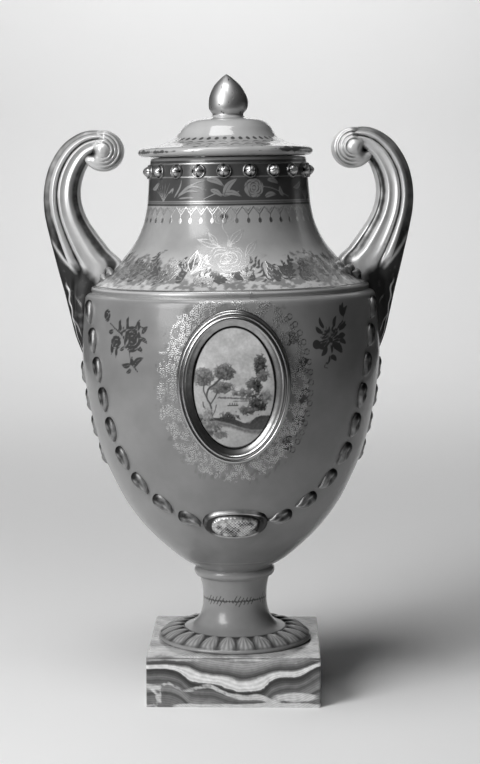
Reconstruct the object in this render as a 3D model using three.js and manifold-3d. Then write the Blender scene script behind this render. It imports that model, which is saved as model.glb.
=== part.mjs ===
// Mantel urn: a covered porcelain urn with scrolled handles, on a square plinth.
// Millimetres, +Z up. The handles lie along X and the front, with its main medallion,
// looks along -Y. All is modelled round the plinth's own axis, and at the end the origin
// is put on the table under the middle of the whole.

import * as THREE from 'three';
import { mergeVertices } from 'three/addons/utils/BufferGeometryUtils.js';
import Module from 'manifold-3d';

const wasm = await Module();
wasm.setup();

// ---------------------------------------------------------------- driving sizes

const SEAT_GAP = 0.3;            // air left between pieces that rest on each other
const SIDES = 28;                // facets round every turned form
const ROOT = 1.6;                // how deep applied relief is bedded in the wall

const PLINTH = { side: 122, height: 36, wall: 7, top: 8, bevel: 1 };

const FOOT = {
  bottom: PLINTH.height + SEAT_GAP,
  radius: 55.6,
  rimHeight: 2.3,
  leaves: 24,
  leafTop: new THREE.Vector2(35.9, 44.6),
  leafRelief: 1.2,
};

const URN = {
  wall: 5.5,
  turn: 2.2,                     // degrees the urn is turned on its plinth
  lean: 0.85,                    // degrees it leans to -X since its stem sagged in the kiln
  leanFrom: 44,
  leanTo: 70,
};

const STUDS = { count: 20, height: 373, radius: 5.2, proud: 4.6, offset: -4 };

const FRAME = { halfWidth: 38.6, halfHeight: 52, centre: 229.6, ribs: 24 };

const HUSK = { length: 16, width: 8, proud: 4 };
const SWAG = { husks: 9, backHusks: 7, sideHusks: 4 };
const TABLET = { centre: 132.8, halfWidth: 22.5, halfHeight: 10.5, proud: 5 };

const HANDLE = { halfDepth: 13, stations: 16, volute: 13.9 };
const VOLUTE_CENTRE = new THREE.Vector2(88.2, 388.6);

const LID = { seat: 382.8 + SEAT_GAP, flangeClearance: 2.6, flangeDepth: 10, wall: 5 };

const porcelain = new THREE.MeshStandardMaterial({ color: 0x8f8f8f, roughness: 0.22, metalness: 0 });
const agateGlaze = new THREE.MeshStandardMaterial({ color: 0x7d7d7d, roughness: 0.25, metalness: 0 });
const gildedGlaze = new THREE.MeshStandardMaterial({ color: 0x9a9a9a, roughness: 0.24, metalness: 0 });

// ---------------------------------------------------------------- small helpers

const v2 = (r, z) => new THREE.Vector2(r, z);

function curve(points, steps) {
  return new THREE.SplineCurve(points.map(([r, z]) => v2(r, z))).getPoints(steps);
}

function arc(r, z, radius, fromDegrees, toDegrees, steps) {
  const from = THREE.MathUtils.degToRad(fromDegrees);
  const to = THREE.MathUtils.degToRad(toDegrees);
  return new THREE.EllipseCurve(r, z, radius, radius, from, to, to < from).getPoints(steps);
}

// Vertices are welded, faces that shrank to a line are dropped and a shape that came
// out inside out is turned, so that every form is one closed body.
function solid(geometry) {
  geometry.deleteAttribute('normal');
  geometry.deleteAttribute('uv');
  const welded = mergeVertices(geometry, 1e-4);
  const points = welded.attributes.position;
  const corners = [];
  const [a, b, c] = [new THREE.Vector3(), new THREE.Vector3(), new THREE.Vector3()];
  let volume = 0;
  for (let i = 0; i < welded.index.count; i += 3) {
    const [p, q, r] = [0, 1, 2].map((k) => welded.index.getX(i + k));
    if (p === q || q === r || r === p) continue;
    corners.push([p, q, r]);
    volume += a.fromBufferAttribute(points, p)
      .dot(b.fromBufferAttribute(points, q).cross(c.fromBufferAttribute(points, r)));
  }
  const outward = volume > 0 ? corners : corners.map(([p, q, r]) => [p, r, q]);
  return new wasm.Manifold(new wasm.Mesh({
    numProp: 3,
    vertProperties: new Float32Array(points.array),
    triVerts: new Uint32Array(outward.flat()),
  }));
}

function eachVertex(geometry, move) {
  const points = geometry.attributes.position;
  const p = new THREE.Vector3();
  for (let i = 0; i < points.count; i += 1) {
    move(p.fromBufferAttribute(points, i));
    points.setXYZ(i, p.x, p.y, p.z);
  }
  return geometry;
}

function turned(outline, sides = SIDES) {
  return new THREE.LatheGeometry(outline, sides).rotateX(Math.PI / 2);
}

function meshGeometry(body) {
  const { vertProperties, triVerts } = body.getMesh();
  const geometry = new THREE.BufferGeometry();
  geometry.setAttribute('position', new THREE.BufferAttribute(new Float32Array(vertProperties), 3));
  geometry.setIndex(new THREE.BufferAttribute(new Uint32Array(triVerts), 1));
  return geometry;
}

// The stem bent a little in the firing: from there up everything stands out of true.
function settle(geometry) {
  const angle = THREE.MathUtils.degToRad(URN.lean);
  const turn = THREE.MathUtils.degToRad(URN.turn);
  const bend = URN.leanTo - URN.leanFrom;
  return eachVertex(geometry.rotateZ(turn), (p) => {
    const share = THREE.MathUtils.clamp((p.z - URN.leanFrom) / bend, 0, 1);
    const above = Math.max(p.z - URN.leanTo, 0);
    const tilt = angle * share;
    const shift = angle * (bend * share * share / 2 + above);
    p.set(p.x * Math.cos(tilt) - shift, p.y, p.z + p.x * Math.sin(tilt));
  });
}

// ---------------------------------------------------------------- plinth

function plinthBody() {
  const half = PLINTH.side / 2 - PLINTH.bevel;
  const square = new THREE.Shape([v2(-half, -half), v2(half, -half), v2(half, half), v2(-half, half)]);
  const block = new THREE.ExtrudeGeometry(square, {
    depth: PLINTH.height - 2 * PLINTH.bevel,
    bevelSize: PLINTH.bevel,
    bevelThickness: PLINTH.bevel,
    bevelSegments: 1,
  }).translate(0, 0, PLINTH.bevel);
  const inside = PLINTH.side - 2 * PLINTH.wall;
  const room = PLINTH.height - PLINTH.top;
  const hollow = new THREE.BoxGeometry(inside, inside, 2 * room);
  return solid(block).subtract(solid(hollow));
}

// ---------------------------------------------------------------- urn, turned wall

const stem = curve([[35.9, 44.6], [29.6, 47.6], [25.2, 53.4], [23.2, 62], [23.4, 73], [25.6, 83]], 5);
const stemRing = [v2(23.6, 80.4), ...arc(26.4, 85.8, 3.9, -62, 62, 4)];

const bodyWall = curve([
  [29, 90.6], [40.8, 98.2], [59.8, 115.8], [73.8, 133.5], [83.6, 151.1], [94, 175.9],
  [101.6, 207], [105.7, 235], [106.1, 251], [105, 268], [103.7, 283],
], 11);

const shoulderCorner = arc(98.2, 283.4, 5.5, 20, 80, 2);
const shoulderBead = [v2(98.9, 289.8), v2(98.7, 292.6), v2(96.6, 293.8)];

const neckWall = curve([
  [95.8, 294.1], [84.3, 302.8], [75.2, 313], [67.2, 323.2], [61.3, 335.5], [58.2, 348.6],
  [57.1, 360], [56.3, 371], [55.3, 380.6],
], 8);

const bowlWall = [...bodyWall, ...shoulderCorner, ...neckWall.slice(1)];

// The x of a rising line at a height.
function acrossAt(line, height) {
  const above = line.findIndex((p) => p.y >= height);
  const [low, high] = [line[Math.max(above - 1, 0)], line[above]];
  const share = (height - low.y) / Math.max(high.y - low.y, 1e-6);
  return THREE.MathUtils.lerp(low.x, high.x, THREE.MathUtils.clamp(share, 0, 1));
}

const radiusAt = (height) => acrossAt(bowlWall, height);

// The inside follows the outside one wall thickness in, from the mouth to the bottom.
function innerWall() {
  const inside = [];
  for (let i = bowlWall.length - 2; i > 0; i -= 2) {
    const along = bowlWall[i + 1].clone().sub(bowlWall[i - 1]).normalize();
    inside.push(v2(bowlWall[i].x - URN.wall * along.y, bowlWall[i].y + URN.wall * along.x));
  }
  return inside;
}

function bowl() {
  const lip = [v2(54.6, 382.4), v2(52, 382.8), v2(50, 381.6)];
  const bowlFloor = [v2(17, 97.2), v2(0, 96)];
  return solid(turned([
    v2(0, 87), v2(22, 87), ...stemRing, ...bodyWall, ...shoulderCorner, ...shoulderBead,
    ...neckWall, ...lip, ...innerWall(), ...bowlFloor,
  ]));
}

// The foot is hollow from beneath. A ring of leaves lies over it: each swells along its
// middle and sinks to a notch beside its neighbour. A notch faces the front.
function foot() {
  const { radius, bottom, rimHeight, leafTop, leafRelief, leaves } = FOOT;
  const hollow = [
    v2(0, 84), v2(15.5, 82), v2(16.8, 62), v2(21, 49), v2(34, 40.4), v2(48.5, bottom),
    v2(48.5, 0), v2(0, 0),
  ];
  const rim = [v2(radius - 0.6, bottom), v2(radius, bottom + 1), v2(radius - 0.8, bottom + rimHeight)];
  const bank = curve([[54, 39.4], [49, 42], [42.5, 43.8], [leafTop.x + 0.8, leafTop.y]], 3);
  const body = turned([v2(0, bottom), ...rim, ...bank, ...stem, v2(22, 89), v2(0, 89)], 2 * leaves);
  eachVertex(body, (p) => {
    const r = Math.hypot(p.x, p.y);
    const across = Math.cos(leaves * Math.atan2(p.x, -p.y));
    const onLeaf = p.z > bottom + rimHeight && r > leafTop.x + 0.5;
    p.z -= onLeaf ? leafRelief * across : 0;
  });
  return solid(body).subtract(solid(turned(hollow, leaves)));
}

// ---------------------------------------------------------------- applied relief

// A point of the wall at a bearing from the front and a height, lifted off the surface.
function onWall(bearing, height, lift) {
  const step = 1.5;
  const slope = Math.atan2(radiusAt(height - step) - radiusAt(height + step), 2 * step);
  const r = radiusAt(height) + lift * Math.cos(slope);
  const a = THREE.MathUtils.degToRad(bearing);
  return new THREE.Vector3(r * Math.sin(a), -r * Math.cos(a), height + lift * Math.sin(slope));
}

// An oval mound laid on the wall: its outline runs from the bed to the crown as pairs
// of a share of the half widths and a lift.
function mound(bearing, height, halfWidth, halfHeight, outline, sides) {
  const form = turned(outline.map(([share, lift]) => v2(share, lift)), sides);
  return solid(eachVertex(form, (p) => {
    const z = height + p.y * halfHeight;
    const turn = THREE.MathUtils.radToDeg(p.x * halfWidth / radiusAt(height));
    p.copy(onWall(bearing + turn, z, p.z));
  }));
}

function stud(index) {
  const bearing = STUDS.offset + index * 360 / STUDS.count;
  const { radius, proud } = STUDS;
  const outline = [[0, -ROOT], [1, -ROOT], [0.52, 2.4], [0, proud]];
  return mound(bearing, STUDS.height, radius, radius, outline, 5);
}

// Half of a husk festoon, from under a handle down to the tablet at the middle.
const festoon = [
  [70, 277], [63.5, 254], [59.6, 232], [58, 206], [54.5, 181], [46.5, 159.5], [34, 143.5], [24, 136.5],
];

function husk(place, along) {
  const outward = place.clone().setZ(0).normalize();
  const side = new THREE.Vector3().crossVectors(along, outward).normalize();
  const lift = new THREE.Vector3().crossVectors(side, along).normalize();
  const bead = new THREE.SphereGeometry(1, 5, 3);
  return solid(eachVertex(bead, (p) => {
    const taper = 1 + 0.3 * p.y;
    const [across, rise] = [p.x * HUSK.width / 2 * taper, p.z * HUSK.proud];
    const forward = -p.y * HUSK.length / 2;
    p.copy(place).addScaledVector(along, forward).addScaledVector(side, across)
      .addScaledVector(lift, rise);
  }));
}

function festoonHusks(mirror, front) {
  const route = new THREE.CatmullRomCurve3(festoon.map(([bearing, height]) => {
    const around = front ? bearing : 180 - bearing;
    return onWall(mirror * around, height, 0.6);
  }));
  const last = (front ? SWAG.husks : SWAG.backHusks) - 1;
  return Array.from({ length: last + 1 }, (_, i) =>
    husk(route.getPointAt(i / last), route.getTangentAt(i / last)));
}

function sideDrop(mirror) {
  const heights = Array.from({ length: SWAG.sideHusks }, (_, i) => 231 - 19.4 * i);
  return heights.map((height) => {
    const place = onWall(90 * mirror, height, -0.6);
    const along = onWall(90 * mirror, height - 2, -0.6).sub(place).normalize();
    return husk(place, along);
  });
}

function tablet(bearing) {
  const { centre, halfWidth, halfHeight, proud } = TABLET;
  const outline = [
    [0, -ROOT], [1, -ROOT], [0.92, 2.4], [0.72, 2.4], [0.62, proud - 0.6], [0, proud],
  ];
  return mound(bearing, centre, halfWidth, halfHeight, outline, 12);
}

// A moulded oval frame: its section runs inwards over two ridges and a long cove.
function ovalFrame(bearing, section) {
  const { halfWidth, halfHeight, centre, ribs } = FRAME;
  const outline = section.map(([inset, lift]) => v2(halfWidth - inset, lift));
  const ring = turned([...outline, outline[0].clone()], ribs);
  return solid(eachVertex(ring, (p) => {
    const around = Math.atan2(p.y, p.x);
    const inset = halfWidth - Math.hypot(p.x, p.y);
    const across = (halfWidth - inset) * Math.cos(around);
    const up = (halfHeight - inset) * Math.sin(around);
    const turn = THREE.MathUtils.radToDeg(across / radiusAt(centre));
    p.copy(onWall(bearing + turn, centre + up, p.z));
  }));
}

const frontSection = [
  [-0.4, -ROOT], [0.7, 2.6], [2.8, 4.6], [4.2, 3.7], [5.8, 4.4], [8.2, 2.2], [11, 0.4], [11, -ROOT],
];
const backSection = [[-0.4, -ROOT], [0.9, 2.6], [3.2, 4.2], [6, 3.4], [11, 0.4], [11, -ROOT]];

// ---------------------------------------------------------------- handles

// Each handle rises from the shoulder, swells outwards and rolls over into a volute.
// Below the shoulder it runs on as a leaf that hugs the body.
const handleOuter = curve([
  [86, 402.4], [98, 403], [108, 399.7], [118.2, 391.8], [126.8, 378], [131, 362], [131.1, 346],
  [128, 329], [124.6, 314.5], [121.6, 302], [118, 288], [114.6, 273], [111, 257.5], [106.4, 245],
], HANDLE.stations);
const handleInner = curve([
  [87, 388], [93, 384], [98.4, 379.5], [102.6, 371], [104.8, 361.5], [104.4, 352], [101, 341.5],
  [94.6, 331.2], [85.6, 319], [77.2, 308.4], [88, 295.5], [98, 280], [102, 262], [102.4, 246],
], HANDLE.stations);

// The section seen from one side, from its outer edge to its inner one, as pairs of the
// share across and the share of the half depth: a leaf, two reeds and a broad panel.
const reeding = [
  [0.04, 0.46], [0.16, 0.74], [0.24, 0.96], [0.32, 0.85], [0.4, 1], [0.74, 0.98], [0.93, 0.52],
];
const handleSection = [
  [0, 0], ...reeding, [1, 0], ...reeding.toReversed().map(([share, depth]) => [share, -depth]),
];

function handleDepth(share) {
  const spread = 1 + 0.16 * Math.sin(Math.PI * Math.min(share / 0.9, 1)) ** 2;
  const leafTaper = Math.sqrt(THREE.MathUtils.clamp((1 - share) / 0.4, 0.01, 1));
  return HANDLE.halfDepth * spread * leafTaper;
}

function handleStrap() {
  const count = handleSection.length;
  const bar = new THREE.CylinderGeometry(1, 1, 1, count, HANDLE.stations);
  return solid(eachVertex(bar, (p) => {
    const station = Math.round((0.5 - p.y) * HANDLE.stations);
    const [outer, inner] = [handleOuter[station], handleInner[station]];
    const onRim = Math.hypot(p.x, p.z) > 0.5;
    const index = Math.round(Math.atan2(p.x, p.z) / (2 * Math.PI) * count + count) % count;
    const [share, depth] = onRim ? handleSection[index] : [0.5, 0];
    const at = outer.clone().lerp(inner, share);
    p.set(at.x, depth * handleDepth(station / HANDLE.stations), at.y);
  }));
}

function volute() {
  const r = HANDLE.volute;
  const half = [
    [r, 10.8], [r - 1.6, 13], [r - 4.8, 13.8], [r - 7.2, 16.4], [0, 18.6],
  ];
  const outline = [
    ...half.toReversed().map(([radius, out]) => v2(radius, -out)),
    ...half.map(([radius, out]) => v2(radius, out)),
  ];
  const roll = turned(outline, 14).rotateX(Math.PI / 2);
  return solid(roll.translate(VOLUTE_CENTRE.x, 0, VOLUTE_CENTRE.y));
}

function bothSides(body) {
  return [body, body.rotate([0, 0, 180])];
}

// ---------------------------------------------------------------- urn

function urnBody() {
  const applied = [
    foot(),
    ...bothSides(handleStrap()),
    ...bothSides(volute()),
    ...Array.from({ length: STUDS.count }, (_, index) => stud(index)),
    ovalFrame(0, frontSection),
    ovalFrame(180, backSection),
    tablet(0),
    tablet(180),
  ];
  for (const side of [1, -1]) {
    applied.push(...festoonHusks(side, true), ...festoonHusks(side, false), ...sideDrop(side));
  }
  return applied.reduce((body, piece) => body.add(piece), bowl());
}

// ---------------------------------------------------------------- lid

// The lid sits a little towards -X on its mouth and the finial was set off its middle.
const lidDrift = [v2(-1.9, 370), v2(-1.9, 394), v2(0.3, 413), v2(0.8, 421), v2(-0.4, 441)];

function lidBody() {
  const mouth = radiusAt(380) - URN.wall;
  const flange = mouth - LID.flangeClearance;
  const seat = LID.seat;
  const flangeFoot = seat - LID.flangeDepth;
  const brim = [
    v2(57, seat), v2(60.3, seat + 1), v2(62, seat + 3.8), v2(61.5, seat + 6.8),
    v2(59.3, seat + 8.3),
  ];
  const dome = curve([
    [44, 393], [39.6, 394.9], [36.6, 396.6], [33.8, 400], [30.6, 404.4], [25.6, 408.4], [17, 410.2],
  ], 6);
  const collar = [v2(11.8, 410.4), v2(11.4, 412.2)];
  const finial = curve([
    [11.2, 413.2], [13.6, 417], [14, 421.2], [12.8, 426.6], [9.3, 433], [4.8, 437.6], [0, 441],
  ], 5);
  const inside = [
    v2(0, 404), v2(18, 404), v2(31, 394), v2(flange - LID.wall, 388.5),
    v2(flange - LID.wall, flangeFoot),
  ];
  const flangeRing = [v2(flange, flangeFoot), v2(flange, seat)];
  const form = turned([...inside, ...flangeRing, ...brim, ...dome, ...collar, ...finial]);
  return solid(eachVertex(form, (p) => {
    p.x += acrossAt(lidDrift, p.z);
  }));
}

// ---------------------------------------------------------------- assembly

function part(name, body, material, finish = (geometry) => geometry) {
  const mesh = new THREE.Mesh(finish(meshGeometry(body)), material);
  mesh.name = name;
  return mesh;
}

const group = new THREE.Group();
group.add(
  part('plinth', plinthBody(), agateGlaze),
  part('urn', urnBody(), porcelain, settle),
  part('lid', lidBody(), gildedGlaze, settle),
);

// The lean carries the handles off the plinth's middle, so the whole is centred again.
const middle = new THREE.Box3().setFromObject(group).getCenter(new THREE.Vector3());
for (const { geometry } of group.children) geometry.translate(-middle.x, -middle.y, 0);

export default group;
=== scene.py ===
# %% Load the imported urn
import math

import bmesh
import bpy
import numpy as np
from mathutils import Matrix, Vector, noise


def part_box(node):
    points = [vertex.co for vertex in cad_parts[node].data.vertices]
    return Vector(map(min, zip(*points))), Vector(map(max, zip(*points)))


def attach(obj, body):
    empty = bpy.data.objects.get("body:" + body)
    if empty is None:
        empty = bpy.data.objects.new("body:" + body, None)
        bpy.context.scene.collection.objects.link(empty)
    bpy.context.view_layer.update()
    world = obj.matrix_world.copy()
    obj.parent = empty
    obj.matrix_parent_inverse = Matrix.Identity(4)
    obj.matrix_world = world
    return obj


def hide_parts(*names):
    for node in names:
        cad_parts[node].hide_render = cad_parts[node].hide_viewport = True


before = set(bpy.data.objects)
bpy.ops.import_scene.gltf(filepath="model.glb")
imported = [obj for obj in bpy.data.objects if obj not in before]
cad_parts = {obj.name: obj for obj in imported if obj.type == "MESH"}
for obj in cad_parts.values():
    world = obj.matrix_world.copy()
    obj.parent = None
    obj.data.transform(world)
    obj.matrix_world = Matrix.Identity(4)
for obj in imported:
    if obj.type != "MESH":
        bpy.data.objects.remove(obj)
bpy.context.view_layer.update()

# %% [markdown]
# # A covered mantel urn
# The urn is one piece of porcelain: a wide body thrown on a wheel, with cast handles,
# studs, husks and frames luted on while the clay was soft. A loose lid closes it and a
# marbled plinth carries it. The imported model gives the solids; the scene keeps their
# sizes and adds what a finer mesh and a glaze can show. Every list of sizes below is in
# millimetres, with Z up and the front towards -Y, measured from under the plinth's
# middle; the frame's own origin lies a few millimetres beside it.

# %% Sizes shared by the pieces
MM = 0.001
TURN = math.radians(2.2)
LEAN = math.radians(0.85)
LEAN_FROM, LEAN_TO = 44, 70
WALL = 5.5
PLINTH_BOX = [[v / MM for v in corner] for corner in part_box("plinth")]
PLINTH_MIDDLE = [(low + high) / 2 for low, high in zip(*PLINTH_BOX)][:2]
PLINTH_TOP = PLINTH_BOX[1][2]
FOOT_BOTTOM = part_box("urn")[0][2] / MM
LID_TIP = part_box("lid")[1][2] / MM
PLINTH_SIDE, PLINTH_HEIGHT = 122, 36
FRAME_HEIGHT = 229.6
FRAME_HALF = (38.6, 52)
print("plinth top", round(PLINTH_TOP, 2), "foot", round(FOOT_BOTTOM, 2), "tip", round(LID_TIP, 2))

# %% [markdown]
# ## Curves
# A potter's profile is a few sizes joined by a smooth line. Blender's own curves could
# draw it, but the same Catmull-Rom line that the solid model uses is a few lines of
# array arithmetic, and it keeps both models on one outline. `even` then spaces the points
# by real length, so that rows of faces are as fine as their decoration needs.

# %% Smooth lines through named points
def curve(points, steps):
    """A smooth line through the points, in equal steps from point to point."""
    p = np.array(points, float)
    padded = np.vstack([p[:1], p, p[-1:]])
    t = np.linspace(0, len(p) - 1, steps + 1)
    i = np.minimum(t.astype(int), len(p) - 2)
    w = (t - i)[:, None]
    before, start, end, after = (padded[i + k] for k in range(4))
    leave, arrive = (end - before) / 2, (after - start) / 2
    cubic = 2 * start - 2 * end + leave + arrive
    square = -3 * start + 3 * end - 2 * leave - arrive
    return cubic * w ** 3 + square * w ** 2 + leave * w + start


def arc(centre, radius, from_degrees, to_degrees, steps):
    """Points on part of a circle."""
    a = np.radians(np.linspace(from_degrees, to_degrees, steps + 1))
    return np.stack([centre[0] + radius * np.cos(a), centre[1] + radius * np.sin(a)], 1)


def even(points, spacing):
    """The same line with points about one spacing apart."""
    p = np.array(points, float)
    run = np.concatenate([[0], np.cumsum(np.hypot(*np.diff(p, axis=0).T))])
    at = np.linspace(0, run[-1], max(round(run[-1] / spacing), 1) + 1)
    return np.stack([np.interp(at, run, column) for column in p.T], 1)


def inward(points, depth):
    """The line moved to its left by a wall's thickness."""
    along = np.gradient(np.array(points, float), axis=0)
    along /= np.hypot(*along.T)[:, None]
    return points + depth * np.stack([-along[:, 1], along[:, 0]], 1)


def ramp(low, high, value):
    """A smooth step from 0 at low to 1 at high."""
    share = np.clip((value - low) / (high - low), 0, 1)
    return share * share * (3 - 2 * share)


# %% The urn's profile
BODY_WALL = [
    (29, 90.6), (40.8, 98.2), (59.8, 115.8), (73.8, 133.5), (83.6, 151.1), (94, 175.9),
    (101.6, 207), (105.7, 235), (106.1, 251), (105, 268), (103.7, 283),
]
NECK_WALL = [
    (95.8, 294.1), (84.3, 302.8), (75.2, 313), (67.2, 323.2), (61.3, 335.5),
    (58.2, 348.6), (57.1, 360), (56.3, 371), (55.3, 380.6),
]
body_line = curve(BODY_WALL, 300)
corner_line = arc((98.2, 283.4), 5.5, 20, 80, 10)
neck_line = curve(NECK_WALL, 240)
wall_line = np.vstack([body_line, corner_line, neck_line[24:]])


def radius_at(height):
    """The outer radius of the wall at a height."""
    return np.interp(height, wall_line[:, 1], wall_line[:, 0])


def on_wall(bearing, height, lift):
    """Points lifted off the wall, at bearings in degrees from the front towards +X."""
    reach = 1.5
    slope = np.arctan2(radius_at(height - reach) - radius_at(height + reach), 2 * reach)
    r = radius_at(height) + lift * np.cos(slope)
    a = np.radians(bearing)
    return np.stack([r * np.sin(a), -r * np.cos(a), height + lift * np.sin(slope)], -1)


print("girth", round(2 * wall_line[:, 0].max(), 1), "mm over the body")

# %% [markdown]
# ## From mesh to piece
# The stem sagged a little in the kiln, so everything above it stands out of true. Each
# form is modelled upright, where its sizes are simple, and `settle` turns and leans it at
# the very end, as the kiln did. A bmesh holds the form while it is made; `piece` merges
# its seams, points its faces outwards, lets a painter add UVs and attributes, and places
# it in the frame.

# %% Settling and finishing a piece
def settle(p):
    """Turns points of the fired urn on the plinth and leans them over its stem."""
    x = p[:, 0] * math.cos(TURN) - p[:, 1] * math.sin(TURN)
    y = p[:, 0] * math.sin(TURN) + p[:, 1] * math.cos(TURN)
    z = p[:, 2]
    bend = LEAN_TO - LEAN_FROM
    share = np.clip((z - LEAN_FROM) / bend, 0, 1)
    tilt = LEAN * share
    shift = LEAN * (bend * share ** 2 / 2 + np.maximum(z - LEAN_TO, 0))
    return np.stack([x * np.cos(tilt) - shift, y, z + x * np.sin(tilt)], 1)


def places(mesh):
    """The mesh's vertices as an array."""
    flat = np.empty(3 * len(mesh.vertices))
    mesh.vertices.foreach_get("co", flat)
    return flat.reshape(-1, 3)


def piece(name, bm, material, node, fired=True, crease=38, decorate=None):
    """Makes a finished object of a millimetre bmesh, parents it to the root and hides its node."""
    bmesh.ops.remove_doubles(bm, verts=bm.verts, dist=0.004)
    bmesh.ops.recalc_face_normals(bm, faces=bm.faces)
    mesh = bpy.data.meshes.new(name)
    bm.to_mesh(mesh)
    bm.free()
    points = places(mesh)
    if decorate:
        decorate(mesh, points)
    points = settle(points) if fired else points
    points = points + [*PLINTH_MIDDLE, 0]
    mesh.vertices.foreach_set("co", (points * MM).ravel())
    mesh.update()
    mesh.polygons.foreach_set("use_smooth", np.ones(len(mesh.polygons), bool))
    mesh.set_sharp_from_angle(angle=math.radians(crease))
    made = bpy.data.objects.new(name, mesh)
    bpy.context.scene.collection.objects.link(made)
    mesh.materials.append(material)
    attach(made, "root")
    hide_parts(node)
    mesh.calc_loop_triangles()
    print(name, len(mesh.loop_triangles), "triangles")
    return made


def store(mesh, name, values):
    """Writes one number for each vertex."""
    made = mesh.attributes.get(name) or mesh.attributes.new(name, "FLOAT", "POINT")
    made.data.foreach_set("value", np.asarray(values, np.float32))


def move(bm, place):
    """Moves all vertices by a function of their places, which may also give each painted shade."""
    scratch = bpy.data.meshes.new("scratch")
    bm.to_mesh(scratch)
    moved = place(places(scratch))
    if isinstance(moved, tuple):
        moved, hollow = moved
        store(scratch, "hollow", hollow)
    scratch.vertices.foreach_set("co", moved.ravel())
    bm.clear()
    bm.from_mesh(scratch)
    bpy.data.meshes.remove(scratch)
    return bm


def turned(outline, steps):
    """Wraps a grid round the Z axis, its rows on an outline of (radius, height)."""
    line = np.array(outline, float)
    line = line[np.concatenate([[True], np.hypot(*np.diff(line, axis=0).T) > 1e-3])]
    if line[0][0] > 0:
        line = np.vstack([line, line[:1]])
    rows = len(line) - 1
    bm = bmesh.new()
    bmesh.ops.create_grid(bm, x_segments=steps, y_segments=rows, size=0.5)

    def wrap(p):
        a = (p[:, 0] + 0.5) * 2 * math.pi
        r, z = line[np.rint((p[:, 1] + 0.5) * rows).astype(int)].T
        return np.stack([r * np.cos(a), r * np.sin(a), z], 1)

    move(bm, wrap)
    bmesh.ops.remove_doubles(bm, verts=bm.verts, dist=0.004)
    bmesh.ops.recalc_face_normals(bm, faces=bm.faces)
    return bm


def joined(forms):
    """One bmesh that holds copies of several."""
    whole = bmesh.new()
    scratch = bpy.data.meshes.new("scratch")
    for form in forms:
        form.to_mesh(scratch)
        form.free()
        whole.from_mesh(scratch)
    bpy.data.meshes.remove(scratch)
    return whole


def bearing_of(p):
    """Degrees round the axis from the front towards +X."""
    return np.degrees(np.arctan2(p[:, 0], -p[:, 1]))


FRONT_CROWDING = 0.55


def crowd_front(p):
    """Draws the columns of a turned form together at its painted front."""
    a = np.radians(bearing_of(p))
    r = np.hypot(p[:, 0], p[:, 1])
    a = a - FRONT_CROWDING * np.sin(a)
    return np.stack([r * np.sin(a), -r * np.cos(a), p[:, 2]], 1)


# %% [markdown]
# ## Glazes and gilding
# The urn is hard porcelain under a clear glaze: a smooth, slightly wavy skin of glass with
# an IOR near 1.5, over a ground colour and enamels that soften a little into it. The gold
# is a thin burnished film, so it behaves as metal: where it faces the window it flashes,
# and where it faces the dark room it looks black. Painting with nodes alone would need
# hundreds of them; instead a painter's brush writes signed distances to each vertex, in
# millimetres inside the paint, and the shader cuts them sharp. Repeating or ragged
# patterns, such as the lace of gold dots, stay in the nodes.

# %% Colours and nodes
def hex_colour(code):
    """An sRGB hex colour as linear values."""
    parts = [int(code[i:i + 2], 16) / 255 for i in (1, 3, 5)]
    linear = [v / 12.92 if v <= 0.04045 else ((v + 0.055) / 1.055) ** 2.4 for v in parts]
    return (*linear, 1)


def add(tree, kind, sockets=None, **settings):
    """Adds a node, with its settings and its sockets linked or set."""
    made = tree.nodes.new("ShaderNode" + kind)
    for name, value in settings.items():
        setattr(made, name, value)
    for key, value in (sockets or {}).items():
        if isinstance(value, bpy.types.NodeSocket):
            tree.links.new(value, made.inputs[key])
        else:
            made.inputs[key].default_value = value
    return made


def blank_material(name):
    """A material with a bare Principled shader."""
    made = bpy.data.materials.new(name)
    made.use_nodes = True
    return made, made.node_tree, made.node_tree.nodes["Principled BSDF"]


def plain(name, colour, roughness):
    """A material of one colour."""
    made, _, skin = blank_material(name)
    skin.inputs["Base Color"].default_value = hex_colour(colour)
    skin.inputs["Roughness"].default_value = roughness
    return made


def stops(ramp_node, pairs):
    """Sets a colour ramp's stops from (place, sRGB hex) pairs."""
    elements = ramp_node.color_ramp.elements
    for place, code in pairs[1:-1]:
        elements.new(place).color = hex_colour(code)
    elements[0].position, elements[0].color = pairs[0][0], hex_colour(pairs[0][1])
    elements[-1].position, elements[-1].color = pairs[-1][0], hex_colour(pairs[-1][1])


GOLD = hex_colour("#bdbdbd")
EDGE = 0.22
LACE_CELL = 2.1
UV_UNIT = 100
DARK_SHARE, LIGHT_SHARE = 0.2, 0.74


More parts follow.
